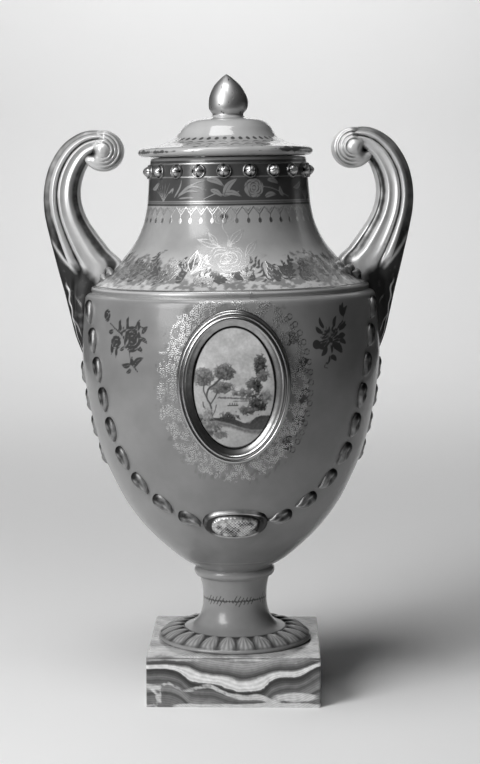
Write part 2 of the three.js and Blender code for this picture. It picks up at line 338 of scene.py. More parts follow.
# %% Painted and gilded porcelain
def painted_porcelain(name, roughness, gold_roughness, clear_coat):
    """Glaze over a ground, a dark and a light enamel, and gold, as the brushes say."""
    material, tree, skin = blank_material(name)
    layer = {key: add(tree, "Attribute", attribute_name=key).outputs["Fac"]
             for key in ("ground", "dark", "light", "gold", "lace")}
    cover = {key: add(tree, "MapRange", {"Value": layer[key], "From Min": -EDGE, "From Max": EDGE})
             for key in ("dark", "light", "gold")}
    spot = add(tree, "TexCoord").outputs
    cloud = add(tree, "TexNoise", {"Vector": spot["Object"], "Scale": 38.0, "Detail": 4.0})
    shade = add(tree, "MapRange", {"Value": cloud.outputs["Fac"], "From Min": 0.3, "From Max": 0.7,
                                   "To Min": 0.88, "To Max": 1.12})
    share = add(tree, "MapRange", {"Value": cover["dark"].outputs[0], "To Min": 1.0,
                                   "To Max": DARK_SHARE})
    share = add(tree, "Mix", {0: cover["light"].outputs[0], 2: share.outputs[0], 3: LIGHT_SHARE})
    ground = add(tree, "Math", {0: layer["ground"], 1: shade.outputs[0]}, operation="MULTIPLY")
    tone = add(tree, "Math", {0: ground.outputs[0], 1: share.outputs[0]}, operation="MULTIPLY")
    enamel = add(tree, "CombineColor", {0: tone.outputs[0], 1: tone.outputs[0],
                                        2: tone.outputs[0]})

    # Lace: little rings of gold, one to a cell, thinned by a cloud.
    cells = add(tree, "TexVoronoi", {"Vector": spot["UV"], "Scale": UV_UNIT / LACE_CELL,
                                     "Randomness": 0.75}, voronoi_dimensions="2D")
    ring = add(tree, "Math", {0: cells.outputs["Distance"], 1: 0.36}, operation="SUBTRACT")
    ring = add(tree, "Math", {0: ring.outputs[0]}, operation="ABSOLUTE")
    ring = add(tree, "MapRange", {"Value": ring.outputs[0], "From Min": 0.17, "From Max": 0.08})
    thin = add(tree, "TexNoise", {"Vector": spot["UV"], "Scale": UV_UNIT / 7, "Detail": 3.0},
               noise_dimensions="2D")
    lace = add(tree, "Math", {0: layer["lace"], 1: thin.outputs["Fac"]}, operation="ADD")
    lace = add(tree, "MapRange", {"Value": lace.outputs[0], "From Min": 0.95, "From Max": 1.1})
    lace = add(tree, "Math", {0: lace.outputs[0], 1: ring.outputs[0]}, operation="MULTIPLY")

    gold = add(tree, "Math", {0: cover["gold"].outputs[0], 1: lace.outputs[0]}, operation="MAXIMUM")
    colour = add(tree, "Mix", {0: gold.outputs[0], 6: enamel.outputs[0], 7: GOLD},
                 data_type="RGBA")
    rough = add(tree, "MapRange", {"Value": gold.outputs[0], "To Min": roughness,
                                   "To Max": gold_roughness})
    raised = add(tree, "Math", {0: gold.outputs[0], 1: cover["light"].outputs[0]}, operation="ADD")
    wave = add(tree, "TexNoise", {"Vector": spot["Object"], "Scale": 60.0, "Detail": 1.0})
    skin_height = add(tree, "Math", {0: wave.outputs["Fac"], 1: 0.5, 2: raised.outputs[0]},
                      operation="MULTIPLY_ADD")
    bump = add(tree, "Bump", {"Height": skin_height.outputs[0], "Distance": 0.00012,
                              "Strength": 0.9})
    for socket, made in (("Base Color", colour.outputs[2]), ("Metallic", gold.outputs[0]),
                         ("Roughness", rough.outputs[0]), ("Normal", bump.outputs[0])):
        tree.links.new(made, skin.inputs[socket])
    skin.inputs["IOR"].default_value = 1.52
    skin.inputs["Specular IOR Level"].default_value = 0.3
    for part, value in zip(("Weight", "IOR", "Roughness"), clear_coat):
        skin.inputs["Coat " + part].default_value = value
    return material


porcelain = painted_porcelain("glazed_porcelain", 0.3, 0.4, (0.7, 1.3, 0.13))
lid_glaze = painted_porcelain("pale_lid_glaze", 0.3, 0.5, (1.0, 1.5, 0.06))


# %% Burnished gilding on cast relief
def gilding(name, bright, dull, roughness, lustre, grain_mm):
    """A gold film with random wear, bright on what stands out, with painted shade in the hollows."""
    material, tree, skin = blank_material(name)
    spot = add(tree, "TexCoord").outputs["Object"]
    worn = add(tree, "TexNoise", {"Vector": spot, "Scale": 1 / (grain_mm * MM), "Detail": 4.0})
    # The hollow attribute is painted shade: it darkens and dulls the gold in recesses and coves, and
    # lightens it where a piece paints a highlight.
    hollow = add(tree, "Attribute", attribute_name="hollow").outputs["Fac"]
    wear_and_shade = add(tree, "Math", {0: worn.outputs["Fac"], 1: 0.3, 2: hollow},
              operation="MULTIPLY_ADD")
    tint = add(tree, "ValToRGB", {0: wear_and_shade.outputs[0]})
    stops(tint, [(0.1, bright), (0.22, bright), (0.58, dull)])
    rough = add(tree, "MapRange", {"Value": wear_and_shade.outputs[0], "From Min": 0.1, "From Max": 0.7,
                                   "To Min": roughness, "To Max": roughness + 0.12})
    soft = add(tree, "TexNoise", {"Vector": spot, "Scale": 0.5 / (grain_mm * MM), "Detail": 1.0})
    bump = add(tree, "Bump", {"Height": soft.outputs["Fac"], "Distance": 0.0004, "Strength": 0.3})
    for socket, made in (("Base Color", tint.outputs[0]), ("Roughness", rough.outputs[0]),
                         ("Normal", bump.outputs[0])):
        tree.links.new(made, skin.inputs[socket])
    skin.inputs["Metallic"].default_value = 1.0
    if lustre < 1:
        # A thin film lets the glaze show where it is bright, away from wear and painted shade.
        metal = add(tree, "MapRange", {"Value": wear_and_shade.outputs[0], "From Min": 0.15,
                                       "From Max": 0.45, "To Min": lustre, "To Max": 1.0})
        tree.links.new(metal.outputs[0], skin.inputs["Metallic"])
    return material


handle_glaze = gilding("lustred_handle_gilding", "#dadada", "#444444", 0.36, 0.3, 7)
gilt_moulding = gilding("burnished_frame_gilding", "#b0b0b0", "#222222", 0.28, 1.0, 4)
stud_gilding = gilding("stud_gilding", "#cccccc", "#1c1c1c", 0.3, 0.8, 2)
husk_glaze = gilding("husk_gilding", "#9c9c9c", "#343434", 0.4, 0.4, 3)


# %% Enamel picture
def enamel(name):
    """Painted tones under a clear glaze, with a little of the brush left in them."""
    material, tree, skin = blank_material(name)
    tone = add(tree, "Attribute", attribute_name="tone").outputs["Fac"]
    spot = add(tree, "TexCoord").outputs["Object"]
    hand = add(tree, "TexNoise", {"Vector": spot, "Scale": 600.0, "Detail": 3.0})
    soft = add(tree, "MapRange", {"Value": hand.outputs["Fac"], "From Min": 0.3, "From Max": 0.7,
                                  "To Min": -0.035, "To Max": 0.035})
    value = add(tree, "Math", {0: tone, 1: soft.outputs[0]}, operation="ADD", use_clamp=True)
    linear = add(tree, "Math", {0: value.outputs[0], 1: 2.2}, operation="POWER")
    grey = add(tree, "CombineColor", {0: linear.outputs[0], 1: linear.outputs[0],
                                      2: linear.outputs[0]})
    tree.links.new(grey.outputs[0], skin.inputs["Base Color"])
    skin.inputs["Roughness"].default_value = 0.12
    skin.inputs["IOR"].default_value = 1.52
    return material


picture_enamel = enamel("painted_enamel")


# %% Agate glaze
def agate(name):
    """Bands of combed slip under glaze; the mesh carries each point's place in the bands."""
    material, tree, skin = blank_material(name)
    band = add(tree, "Attribute", attribute_name="band").outputs["Fac"]
    spot = add(tree, "TexCoord").outputs["Object"]
    stir = add(tree, "TexNoise", {"Vector": spot, "Scale": 45.0, "Detail": 5.0, "Roughness": 0.55})
    shift = add(tree, "MapRange", {"Value": stir.outputs["Fac"], "From Min": 0.3, "From Max": 0.7,
                                   "To Min": -0.022, "To Max": 0.022})
    place = add(tree, "Math", {0: band, 1: shift.outputs[0]}, operation="ADD")
    combed = add(tree, "ValToRGB", {0: place.outputs[0]})
    line = add(tree, "Attribute", attribute_name="streak").outputs["Fac"]
    bend = add(tree, "MapRange", {"Value": stir.outputs["Fac"], "From Min": 0.3, "From Max": 0.7,
                                  "To Min": -0.7, "To Max": 0.7})
    line = add(tree, "Math", {0: line, 1: bend.outputs[0]}, operation="ADD")
    line = add(tree, "MapRange", {"Value": line.outputs[0], "From Min": -0.5, "From Max": 0.3,
                                  "To Max": 0.85})
    stops(combed, [
        (0.0, "#6c6c6c"), (0.05, "#3c3c3c"), (0.1, "#868686"), (0.17, "#747474"),
        (0.24, "#4c4c4c"), (0.3, "#6e6e6e"), (0.36, "#404040"), (0.42, "#202020"),
        (0.447, "#5c5c5c"), (0.455, "#d2d2d2"), (0.5, "#dedede"), (0.545, "#d4d4d4"),
        (0.556, "#7c7c7c"), (0.585, "#343434"), (0.62, "#565656"), (0.7, "#8c8c8c"),
        (0.78, "#a0a0a0"), (0.84, "#6e6e6e"), (0.9, "#8e8e8e"), (1.0, "#7c7c7c")])
    streaked = add(tree, "Mix", {0: line.outputs[0], 6: combed.outputs[0],
                                 7: hex_colour("#cfcfcf")}, data_type="RGBA")
    fine = add(tree, "TexNoise", {"Vector": spot, "Scale": 260.0, "Detail": 4.0})
    mottle = add(tree, "MapRange", {"Value": fine.outputs["Fac"], "From Min": 0.3, "From Max": 0.7,
                                    "To Min": 0.82, "To Max": 1.12})
    # The comb leaves fine lines along the bands.
    comb = add(tree, "Math", {0: place.outputs[0], 1: 170.0}, operation="MULTIPLY")
    comb = add(tree, "Math", {0: comb.outputs[0]}, operation="SINE")
    comb = add(tree, "Math", {0: comb.outputs[0], 1: 0.13, 2: mottle.outputs[0]},
               operation="MULTIPLY_ADD")
    colour = add(tree, "VectorMath", {0: streaked.outputs[2], "Scale": comb.outputs[0]},
                 operation="SCALE")
    tree.links.new(colour.outputs[0], skin.inputs["Base Color"])
    skin.inputs["Roughness"].default_value = 0.16
    skin.inputs["IOR"].default_value = 1.52
    return material


agate_glaze = agate("agate_glaze")


# %% [markdown]
# ## Brushes
# A painter lays leaves and petals with single strokes that swell and taper. `brush` does
# the same: it measures how far each vertex lies inside a stroke along a line, and keeps
# the largest value, so strokes join. Each motif is drawn flat, in millimetres across and
# up the wall from its own middle, and `flat` gives those for every vertex of a piece.

# %% Brushes
BARE = -9.0
SEAM = -90


def swelling(share):
    """A leaf's width along its length, pointed at both ends."""
    return np.sin(math.pi * np.clip(share, 0, 1) ** 0.75) ** 0.8


def tapering(share):
    """A quill stroke that starts full and ends fine."""
    return 1 - 0.75 * share


def steady(share):
    """A stroke of one width."""
    return np.ones_like(share)


def brush(layer, p, line, width, shape=steady):
    """Adds a stroke to a layer of millimetres inside the paint."""
    line = np.array(line, float)
    reach = width / 2 + 1.2
    near = np.flatnonzero(((p > line.min(0) - reach) & (p < line.max(0) + reach)).all(1))
    q, best = p[near], layer[near]
    run = np.concatenate([[0], np.cumsum(np.hypot(*np.diff(line, axis=0).T))])
    for start, end, before, after in zip(line, line[1:], run, run[1:]):
        way = end - start
        share = np.clip((q - start) @ way / max(way @ way, 1e-9), 0, 1)
        gap = np.hypot(*(q - start - share[:, None] * way).T)
        along = (before + (after - before) * share) / run[-1]
        best = np.maximum(best, width / 2 * shape(along) - gap)
    layer[near] = best


def bent(base, tip, bend):
    """A line from base to tip, bowed to one side by a share of its length."""
    base, tip = np.array(base, float), np.array(tip, float)
    across = (tip - base)[::-1] * [-1, 1]
    return curve([base, (base + tip) / 2 + bend * across, tip], 7)


def leaf(layer, p, base, tip, width, bend=0.12, veins=None):
    """A leaf from its stalk to its tip, and its midrib on a second layer."""
    line = bent(base, tip, bend)
    brush(layer, p, line, width, swelling)
    if veins is not None:
        brush(veins, p, line, 0.45, tapering)


def outlined_leaf(layer, p, base, tip, width, line_width):
    """A leaf drawn as two edges and a midrib."""
    length = math.dist(base, tip)
    for bend in (0.55 * width / length, -0.55 * width / length, 0):
        brush(layer, p, bent(base, tip, bend), line_width)


def petals(layer, p, middle, size, rings, line_width, squash=1.0):
    """A full-blown flower as rings of overlapping crescents."""
    for ring in range(rings):
        share = (ring + 0.8) / (rings - 0.2)
        count = 2 + ring
        for k in range(count):
            start = 360 * k / count + 53 * ring
            line = arc((0, 0), size * share, start, start + 340 / count, 8)
            bulge = 1 + 0.2 * np.sin(np.linspace(0, math.pi, 9)) ** 2 - 0.1 * (k % 2)
            line *= bulge[:, None] * [1, squash]
            brush(layer, p, line + middle, line_width, swelling)


def disc(layer, p, middle, half):
    """A filled oval spot."""
    inside = (1 - np.hypot(*((p - middle) / half).T)) * min(half)
    layer[:] = np.maximum(layer, inside)


def flat(points, bearing, height):
    """Millimetres across and up from a spot on the wall, for every point."""
    turn = (bearing_of(points) - bearing + 180) % 360 - 180
    r = np.hypot(points[:, 0], points[:, 1])
    return np.stack([np.radians(turn) * r, points[:, 2] - height], 1)


def clouds(points, grain, seed):
    """Broken, cloud-like values about zero, for ragged edges and leaf masses."""
    spots = np.array(points) / grain + seed
    if spots.shape[1] == 2:
        spots = np.column_stack([spots, np.full(len(spots), seed)])
    return np.array([noise.fractal(spot, 0.8, 2.0, 4) for spot in spots])


def wrap_uv(mesh, points, girth):
    """A UV map in hundreds of millimetres of surface: round the wall and up it."""
    corner = np.empty(len(mesh.loops), int)
    mesh.loops.foreach_get("vertex_index", corner)
    starts = np.empty(len(mesh.polygons), int)
    mesh.polygons.foreach_get("loop_start", starts)
    sizes = np.empty(len(mesh.polygons), int)
    mesh.polygons.foreach_get("loop_total", sizes)
    bearing = (bearing_of(points)[corner] - SEAM) % 360 + SEAM
    first = np.repeat(bearing[starts], sizes)
    bearing = first + (bearing - first + 180) % 360 - 180
    uv = np.stack([np.radians(bearing) * girth / UV_UNIT, points[corner, 2] / UV_UNIT], 1)
    mesh.uv_layers.new(name="wrap").data.foreach_set("uv", uv.astype(np.float32).ravel())


def coat(mesh, points, girth, **layers):
    """Stores every paint layer that the porcelain material reads."""
    wrap_uv(mesh, points, girth)
    for name, bare in (("ground", 0.3), ("dark", BARE), ("light", BARE), ("gold", BARE),
                       ("lace", 0)):
        store(mesh, name, layers.get(name, np.full(len(points), bare)))


def band(points, low, high):
    """Millimetres inside a band between two heights."""
    return np.minimum(points[:, 2] - low, high - points[:, 2])


def bare(points):
    """An empty layer."""
    return np.full(len(points), BARE)


# %% [markdown]
# ## What is painted on the neck
# From the mouth down: a dark rim, a dark band for the studs between gold lines, a band of
# pale leaves and roses on dark enamel, a hanging border of gold chevrons in double line
# with a drop under each point, and on the shoulder a peony in thin gold and a bright bud
# among a ring of small leafy sprigs.

# %% Borders of the neck
CHEVRONS, CHEVRON_TOP, CHEVRON_DROP = 46, 348.6, 5.2
NECK_RADIUS = 58.6


def paint_flower_band(light, veins, points):
    """Three repeats of a fern, bamboo leaves, broad leaves and a rose."""
    for repeat in (0, 120, 240):
        p = flat(points, repeat, 361)
        for x, y in ((-64, 0), (-62, 3.4), (-58.5, 5.4), (-54.5, 6.4), (-50, 6), (-46, 4), (-42, 1)):
            brush(light, p, curve([(-53, -8.5), ((x - 53) / 2, y * 0.25 - 3), (x, y)], 6), 0.8,
                  tapering)
        for line in ([(-39, -6), (-30, 1.5), (-16.5, 6)], [(-38, -4), (-27, 1.6), (-15.5, -1.2)],
                     [(-38, -5), (-30, -1.4), (-21, -2.4)], [(-38, -6.6), (-31, -6), (-24, -6.2)],
                     [(-42, -6), (-37, 0.5), (-35, 6.5)], [(-47, -3), (-43, 0), (-44, -3.5)]):
            brush(light, p, curve(line, 10), 1.3, swelling)
        for base, tip, width in (((-16, 6.4), (-4, 1.6), 4), ((-13, -1), (-5.5, -5.5), 3.4),
                                 ((-4, -4.5), (5, 6.6), 4.2), ((-4.5, -3), (8, -5.6), 3.4),
                                 ((27, 5.8), (36, 2.6), 3.6), ((25, -5.8), (34, -4.6), 3.6),
                                 ((60, 4), (50, 0), 3.6), ((40, -5.5), (37, 1.5), 3)):
            leaf(light, p, base, tip, width, veins=veins)
        brush(light, p, curve([(-18, -7), (-8, -3), (-3, -5), (6, -2)], 14), 0.6)
        brush(light, p, curve([(24, 1), (30, 0), (38, -3), (45, -6)], 14), 0.6)
        disc(light, p, (16.8, 0.2), (7, 6.6))
        petals(veins, p, (16.8, 0.2), 6.2, 4, 0.7)


def paint_lambrequin(gold, points):
    """Chevrons in double line that hang from the border, with a drop under each point."""
    pitch = 360 / CHEVRONS
    half_wide = math.pi * NECK_RADIUS / CHEVRONS
    phase = (bearing_of(points) / pitch) % 1
    across = np.abs(phase - 0.5) * 2 * half_wide
    slope = math.hypot(1, CHEVRON_DROP / half_wide)
    fall = CHEVRON_TOP - CHEVRON_DROP * (1 - across / half_wide)
    z = points[:, 2]
    edge = 0.34 - np.abs(z - fall) / slope
    inner = np.minimum(0.3 - np.abs(z - fall - 2.3) / slope, CHEVRON_TOP - 0.6 - z)
    drop = 1.25 - np.hypot(across, (z - 339.4) / 1.5)
    stalk = np.minimum(0.25 - across, band(points, 340, 343.4))
    for part in (edge, inner, drop, stalk):
        gold[:] = np.maximum(gold, part)


# %% Flowers of the shoulder
PEONY = (-2, 313.4)


def paint_sprigs(dark, gold, points):
    """Small leafy sprigs all round the shoulder, some in enamel and some in gold."""
    dice = np.random.default_rng(7)
    for k in range(120):
        bearing = k * 3 + dice.uniform(-2, 2)
        aside = abs((bearing - PEONY[0] + 180) % 360 - 180)
        p = flat(points, bearing, dice.uniform(297, 301))
        tall = dice.uniform(3, 6) if aside < 17 else dice.uniform(6, 19)
        lean = dice.uniform(-14, 14)
        stem = curve([(0, 0), (lean * 0.3, tall * 0.6), (lean, tall)], 7)
        layer = gold if k % 3 == 0 else dark
        brush(layer, p, stem, 0.6, tapering)
        for step in range(1, 7):
            for side in (-1, 1):
                reach = dice.uniform(2.8, 6)
                turn = math.radians(90 - 5 * lean + side * dice.uniform(30, 80))
                tip = stem[step] + reach * np.array([math.cos(turn), math.sin(turn)])
                leaf(layer, p, stem[step], tip, dice.uniform(1, 2), 0.15)


def paint_peony(bright, shade, points):
    """The peony with its leaves, a small flower above it and a bud at its left."""
    p = flat(points, *PEONY)
    gold = bare(points)
    petals(gold, p, (0, 0), 14, 5, 0.55, squash=0.55)
    petals(gold, p, (1, 1), 5, 2, 0.5, squash=0.7)
    brush(gold, p, curve([(-2, 27), (-3.2, 22), (0.5, 15), (0, 9)], 12), 0.55)
    for base, tip, width in (((-4, 8), (-21, 13.6), 4.6), ((-6, 8.5), (-13, 18), 3.4),
                             ((1, 9.5), (11, 20), 5), ((12, 2), (20, 12.5), 4.6),
                             ((13, 1), (27, 2.6), 3.6), ((12, -3), (20, -10), 4),
                             ((-13, -3), (-19, 4), 3.4), ((-12, -5), (-22, -7), 4),
                             ((2, 8), (1, 13), 2.6)):
        outlined_leaf(gold, p, base, tip, width, 0.45)
    p = flat(points, PEONY[0], 342)
    disc(shade, p, (-2.2, 0), (2.9, 2.4))
    petals(gold, p, (-2.2, 0), 4.4, 2, 0.6, squash=0.8)
    petals(gold, p, (-2.2, 0), 6.6, 2, 0.6, squash=0.75)
    # This gold is rubbed thin, so the glaze shows through it; the bud's is not.
    bright[:] = np.maximum(bright, np.minimum(gold, -0.06))
    gold = bright
    p = flat(points, -19.4, 311)
    outlined_leaf(gold, p, (0, -6.5), (0, 8.5), 8, 0.9)
    leaf(shade, p, (0, -5), (0, 4), 3)
    outlined_leaf(gold, p, (4, -4), (8, 6), 4.6, 0.6)
    outlined_leaf(gold, p, (-4, -5), (-8, 3), 4, 0.6)
    for x in (-20, -17, -14, -11):
        brush(gold, p, bent((x, -6 - x * 0.1), (x + 3.5, 4 + x * 0.1), 0.3), 0.6)
    p = flat(points, 50, 309)
    for turn in range(-60, 240, 36):
        a = math.radians(turn)
        leaf(shade, p, (0, 0), (8.5 * math.cos(a), 7 * math.sin(a)), 3, 0.2)
        brush(gold, p, bent((1, 1), (5 * math.cos(a), 4 * math.sin(a)), 0.5), 0.4)


def paint_neck(mesh, points):
    """All that is on the neck and shoulder."""
    gold, light, veins, sprigs = bare(points), bare(points), bare(points), bare(points)
    dark = np.maximum(band(points, 349.4, 380.4), 0.6 * band(points, 368.8, 378))
    for low, high in ((377.7, 378.6), (368.7, 369.4), (352.2, 352.8), (350.9, 351.4)):
        gold = np.maximum(gold, band(points, low, high))
    paint_flower_band(light, veins, points)
    light = np.minimum(light, -veins)
    paint_lambrequin(gold, points)
    paint_sprigs(sprigs, gold, points)
    # A thin dark wash, partly enamel and partly painted shade, joins the sprigs into one mass.
    low = np.flatnonzero((points[:, 2] < 320) & (points[:, 2] > 294))
    z = points[low, 2]
    aside = np.abs(bearing_of(points[low]) - PEONY[0])
    top = 300 + 13 * ramp(18, 40, aside)
    mass = clouds(points[low], 5, 4.1) * 6 + np.minimum(z - 296.4, top - z) * 0.6
    sprigs[low] = np.maximum(sprigs[low], EDGE * (1.4 * ramp(-1.5, 1.5, mass) - 1))
    peony = flat(points, *PEONY)
    clearing = 15 - np.hypot(peony[:, 0], peony[:, 1] * 1.75)
    sprigs = np.minimum(sprigs, -clearing)
    gold = np.where(np.abs(points[:, 2] - 312) < 14, np.minimum(gold, -clearing), gold)
    paint_peony(gold, sprigs, points)
    dark = np.maximum(dark, sprigs)
    ground = 0.31 + 0.2 * ramp(325, 300, points[:, 2])
    coat(mesh, points, 75, ground=ground, dark=dark, light=light, gold=gold)


# %% [markdown]
# ## What is painted on the body
# The ground is darker here. Round the front frame lies a ragged lace of gold rings, at
# its right with dark curls, and to either side of it stands a spray of flowers in dark
# enamel. The shoulder ridge is thinly gilt.

# %% Sprays and lace
LACE_HALF = (56, 68)


def paint_left_spray(dark, gaps, points):
    """A rose, two small flowers, buds and leaves on one stalk."""
    p = flat(points, -40, 261.3)
    for middle, half, rings in (((0, 0), (7.8, 8.8), 3), ((-15.5, -2.6), (5.4, 5), 2),
                                ((-26.5, 15), (4, 4.6), 2)):
        disc(dark, p, middle, half)
        petals(gaps, p, middle, half[0] * 0.8, rings, 0.7, squash=half[1] / half[0])
    for line, width in (([(-2, -5.7), (-1, -14.5), (4.6, -21.5)], 1.3),
                        ([(-6, -3.7), (-9, 2), (-16, 6), (-23, 10)], 1.2),
                        ([(-9, 2), (-11.4, 8)], 1.1), ([(3, 5), (5.8, 9), (11.8, 6.4)], 1.0)):
        brush(dark, p, curve(line, 10), width)
    for base, tip, width in (((-11.4, 5), (-11.2, 13.5), 3.2), ((-4, 6), (-3.4, 16), 3),
                             ((5, 5), (7, 14), 3.6), ((9, 4), (13.5, 9), 3.2),
                             ((-20, -4), (-21.5, -12), 3.4), ((-16, -6), (-16.5, -14), 3),
                             ((-1.5, -17), (-10.5, -17.5), 3.6), ((1, -19), (10.5, -12), 4.2),
                             ((0, -18), (1.4, -11), 2.6), ((-1, -20), (-6, -23), 2.8),
                             ((-19, 5), (-24.5, 4), 3.4), ((7, 1), (13.5, -3), 3),
                             ((4, -5), (9.5, -9), 3.4), ((-7, -5), (-12, -8), 2.6),
                             ((-6, 4), (-9, 9), 2.6)):
        leaf(dark, p, base, tip, width, veins=gaps)


def paint_right_spray(dark, gaps, points):
    """A wide chrysanthemum with a lily above it and heavy leaves."""
    p = flat(points, 38.4, 262)
    for k in range(13):
        a = math.radians(-25 + 19 * k)
        leaf(dark, p, (0, -4), (9.5 * math.cos(a), -3 + 10 * math.sin(a)), 2.6, 0.05)
        brush(gaps, p, [(2 * math.cos(a + 0.15), -3 + 2 * math.sin(a)),
                        (7 * math.cos(a + 0.15), -3 + 8 * math.sin(a + 0.15))], 0.4)
    disc(dark, p, (-12.1, -5.5), (3.2, 3.2))
    for base, tip, width in (((-3, -6), (-12, -6), 4.6), ((-4, -7), (-8.5, -13.5), 4),
                             ((2, -6), (11, -13), 5.6), ((0, -6), (0.5, -13), 2.2),
                             ((-1, -13), (-4, -20), 1.8), ((0, -14), (5, -18), 3.6),
                             ((-5, 5), (-8.5, 13), 2.8), ((-7, 2), (-12, 7), 3.2),
                             ((4, 5), (7, 13), 3), ((9, 3), (17, 6), 3.4),
                             ((14, 12), (11, 20), 3), ((14, 12), (14.5, 22), 3.2),
                             ((14, 12), (19, 19), 2.8), ((8, -2), (15, -1), 4),
                             ((9, -4), (15, -7), 3.4), ((13, 3), (16, 9), 2.4)):
        leaf(dark, p, base, tip, width)
    brush(dark, p, curve([(4, 0), (9, 6), (13, 9), (14, 16)], 10), 1.1)
    brush(dark, p, curve([(-4, -18), (-6, -21), (-3, -22)], 8), 0.8)


def paint_curls(dark, p, rough):
    """Dark tufts and loops in the right half of the lace."""
    for k in range(15):
        a = math.radians(-42 + 6.2 * k)
        spot = np.array([LACE_HALF[0] * math.cos(a), LACE_HALF[1] * math.sin(a)])
        brush(dark, p, arc(spot * 0.97, 1.9, 0, 330, 12), 0.8)
        brush(dark, p, arc(spot * 0.9 + [0.6, 1.6], 1.4, 90, 400, 10), 0.7)
        if k % 3 == 0:
            q = (p - spot * 0.86) / (4.4, 5.6)
            dark[:] = np.maximum(dark, (1 - np.hypot(*q.T)) * 3.6 + 2.4 * rough - 0.6)


def paint_body(mesh, points):
    """All that is on the body and ridge."""
    gold = np.maximum(band(points, 292.9, 294.5), np.minimum(band(points, 287.6, 291.6), 0.04))
    dark, gaps = bare(points), bare(points)
    paint_left_spray(dark, gaps, points)
    paint_right_spray(dark, gaps, points)
    dark = np.minimum(dark, -gaps)
    p = flat(points, 0, FRAME_HEIGHT)
    near = np.flatnonzero((np.abs(p[:, 0]) < 62) & (np.abs(p[:, 1]) < 74))
    rough = np.zeros(len(points))
    rough[near] = clouds(points[near], 5, 2.3)
    paint_curls(dark, p, rough)
    reach = np.hypot(p[:, 0] / LACE_HALF[0], p[:, 1] / LACE_HALF[1]) + 0.05 * rough
    lace = 0.6 * ramp(1.04, 0.9, reach)
    tufts = (1.02 - reach) * 30 + 0.9
    tufts = np.minimum(tufts, 2.4 * rough - 0.75)
    back = flat(points, 180, FRAME_HEIGHT)
    lace = np.maximum(lace, 0.6 * ramp(1.06, 0.9, np.hypot(back[:, 0] / 50, back[:, 1] / 62)))
    gold = np.maximum(gold, band(points, 97.5, 98.3))
    ground = 0.215 - 0.05 * ramp(0.2, 0.6, np.minimum(tufts, 1))
    # The ridge is painted a paler ground, partly as a painted highlight.
    ground += 0.22 * ramp(286, 289, points[:, 2])
    coat(mesh, points, 104, ground=ground, gold=gold, dark=dark, lace=lace)


def paint_lid(mesh, points):
    """Dots and scallops in dark enamel, a gilt bud, and ragged dark patches at the lip's left and
    right.
    """
    z = points[:, 2]
    r = np.hypot(points[:, 0] + 1.9, points[:, 1])
    a = np.radians(bearing_of(points))
    rough = clouds(points, 4.5, 1.7)
    arm = 2 * math.pi * 38.6 / 44
    dots = np.hypot(((a * 44 / (2 * math.pi)) % 1 - 0.5) * arm, (r - 38.6) * 0.8)
    dark = np.where(z > 391, 1.5 - dots, BARE)
    phase = (a * 34 / (2 * math.pi)) % 1
    on_slope = (z > 389) & (r > 42)
    for centre, reach, wide in ((52, 4.2, 1.5), (45, 2.4, 0.7)):
        gap = np.abs(r - centre + reach * np.sin(math.pi * phase))
        dark = np.maximum(dark, np.where(on_slope, wide * np.sin(math.pi * phase) - gap, BARE))
    dark = np.maximum(dark, np.where(on_slope & (r > 46), 1.9 * rough - 0.75, BARE))
    turn = bearing_of(points)
    left = 1.3 * ramp(-12, -60, turn) * ramp(-150, -110, turn) - 0.55
    right = 2.3 * ramp(16, 52, turn) * ramp(150, 100, turn) - 0.7
    lip = np.maximum(left - np.abs(z - 386.6), right - np.abs(z - 387.4) * 0.8) + 1.3 * rough
    dark = np.maximum(dark, np.where(r > 58, lip, BARE))
    on_bud = z - 412.2
    gold = np.minimum(np.where(z > 412, on_bud, on_bud - 1), 3 - 5 * rough)
    dark = np.where(z > 412.5, np.maximum(dark, 1.6 * rough - 0.9), dark)
    coat(mesh, points, 60, ground=np.full(len(z), 0.44), gold=gold, dark=dark)


# %% [markdown]
# ## The pictures
# Each oval holds a small lake view in grey enamels, of no real place: sky, far shore,
# water and a bank, with leaning trees at the left and a dark stand at the right. Tones are
# laid one over the other, like washes, by masks with soft edges.

# %% Picture painting
def wash(tone, value, inside, soft=0.35):
    """Lays a tone where a mask, in millimetres inside it, is positive."""
    cover = ramp(-soft, soft, inside)
    tone += (value - tone) * cover


def crown(tone, p, rough, middle, half, value):
    """A tree's leaf mass, ragged at the edge and darker beneath."""
    q = (p - middle) / half
    inside = (1 - np.hypot(*q.T)) * min(half) + 1.9 * rough
    lit = 0.07 * q[:, 1].clip(-1, 1) - 0.04 * q[:, 0].clip(-1, 1)
    wash(tone, value + lit + 0.16 * rough, inside, 0.7)


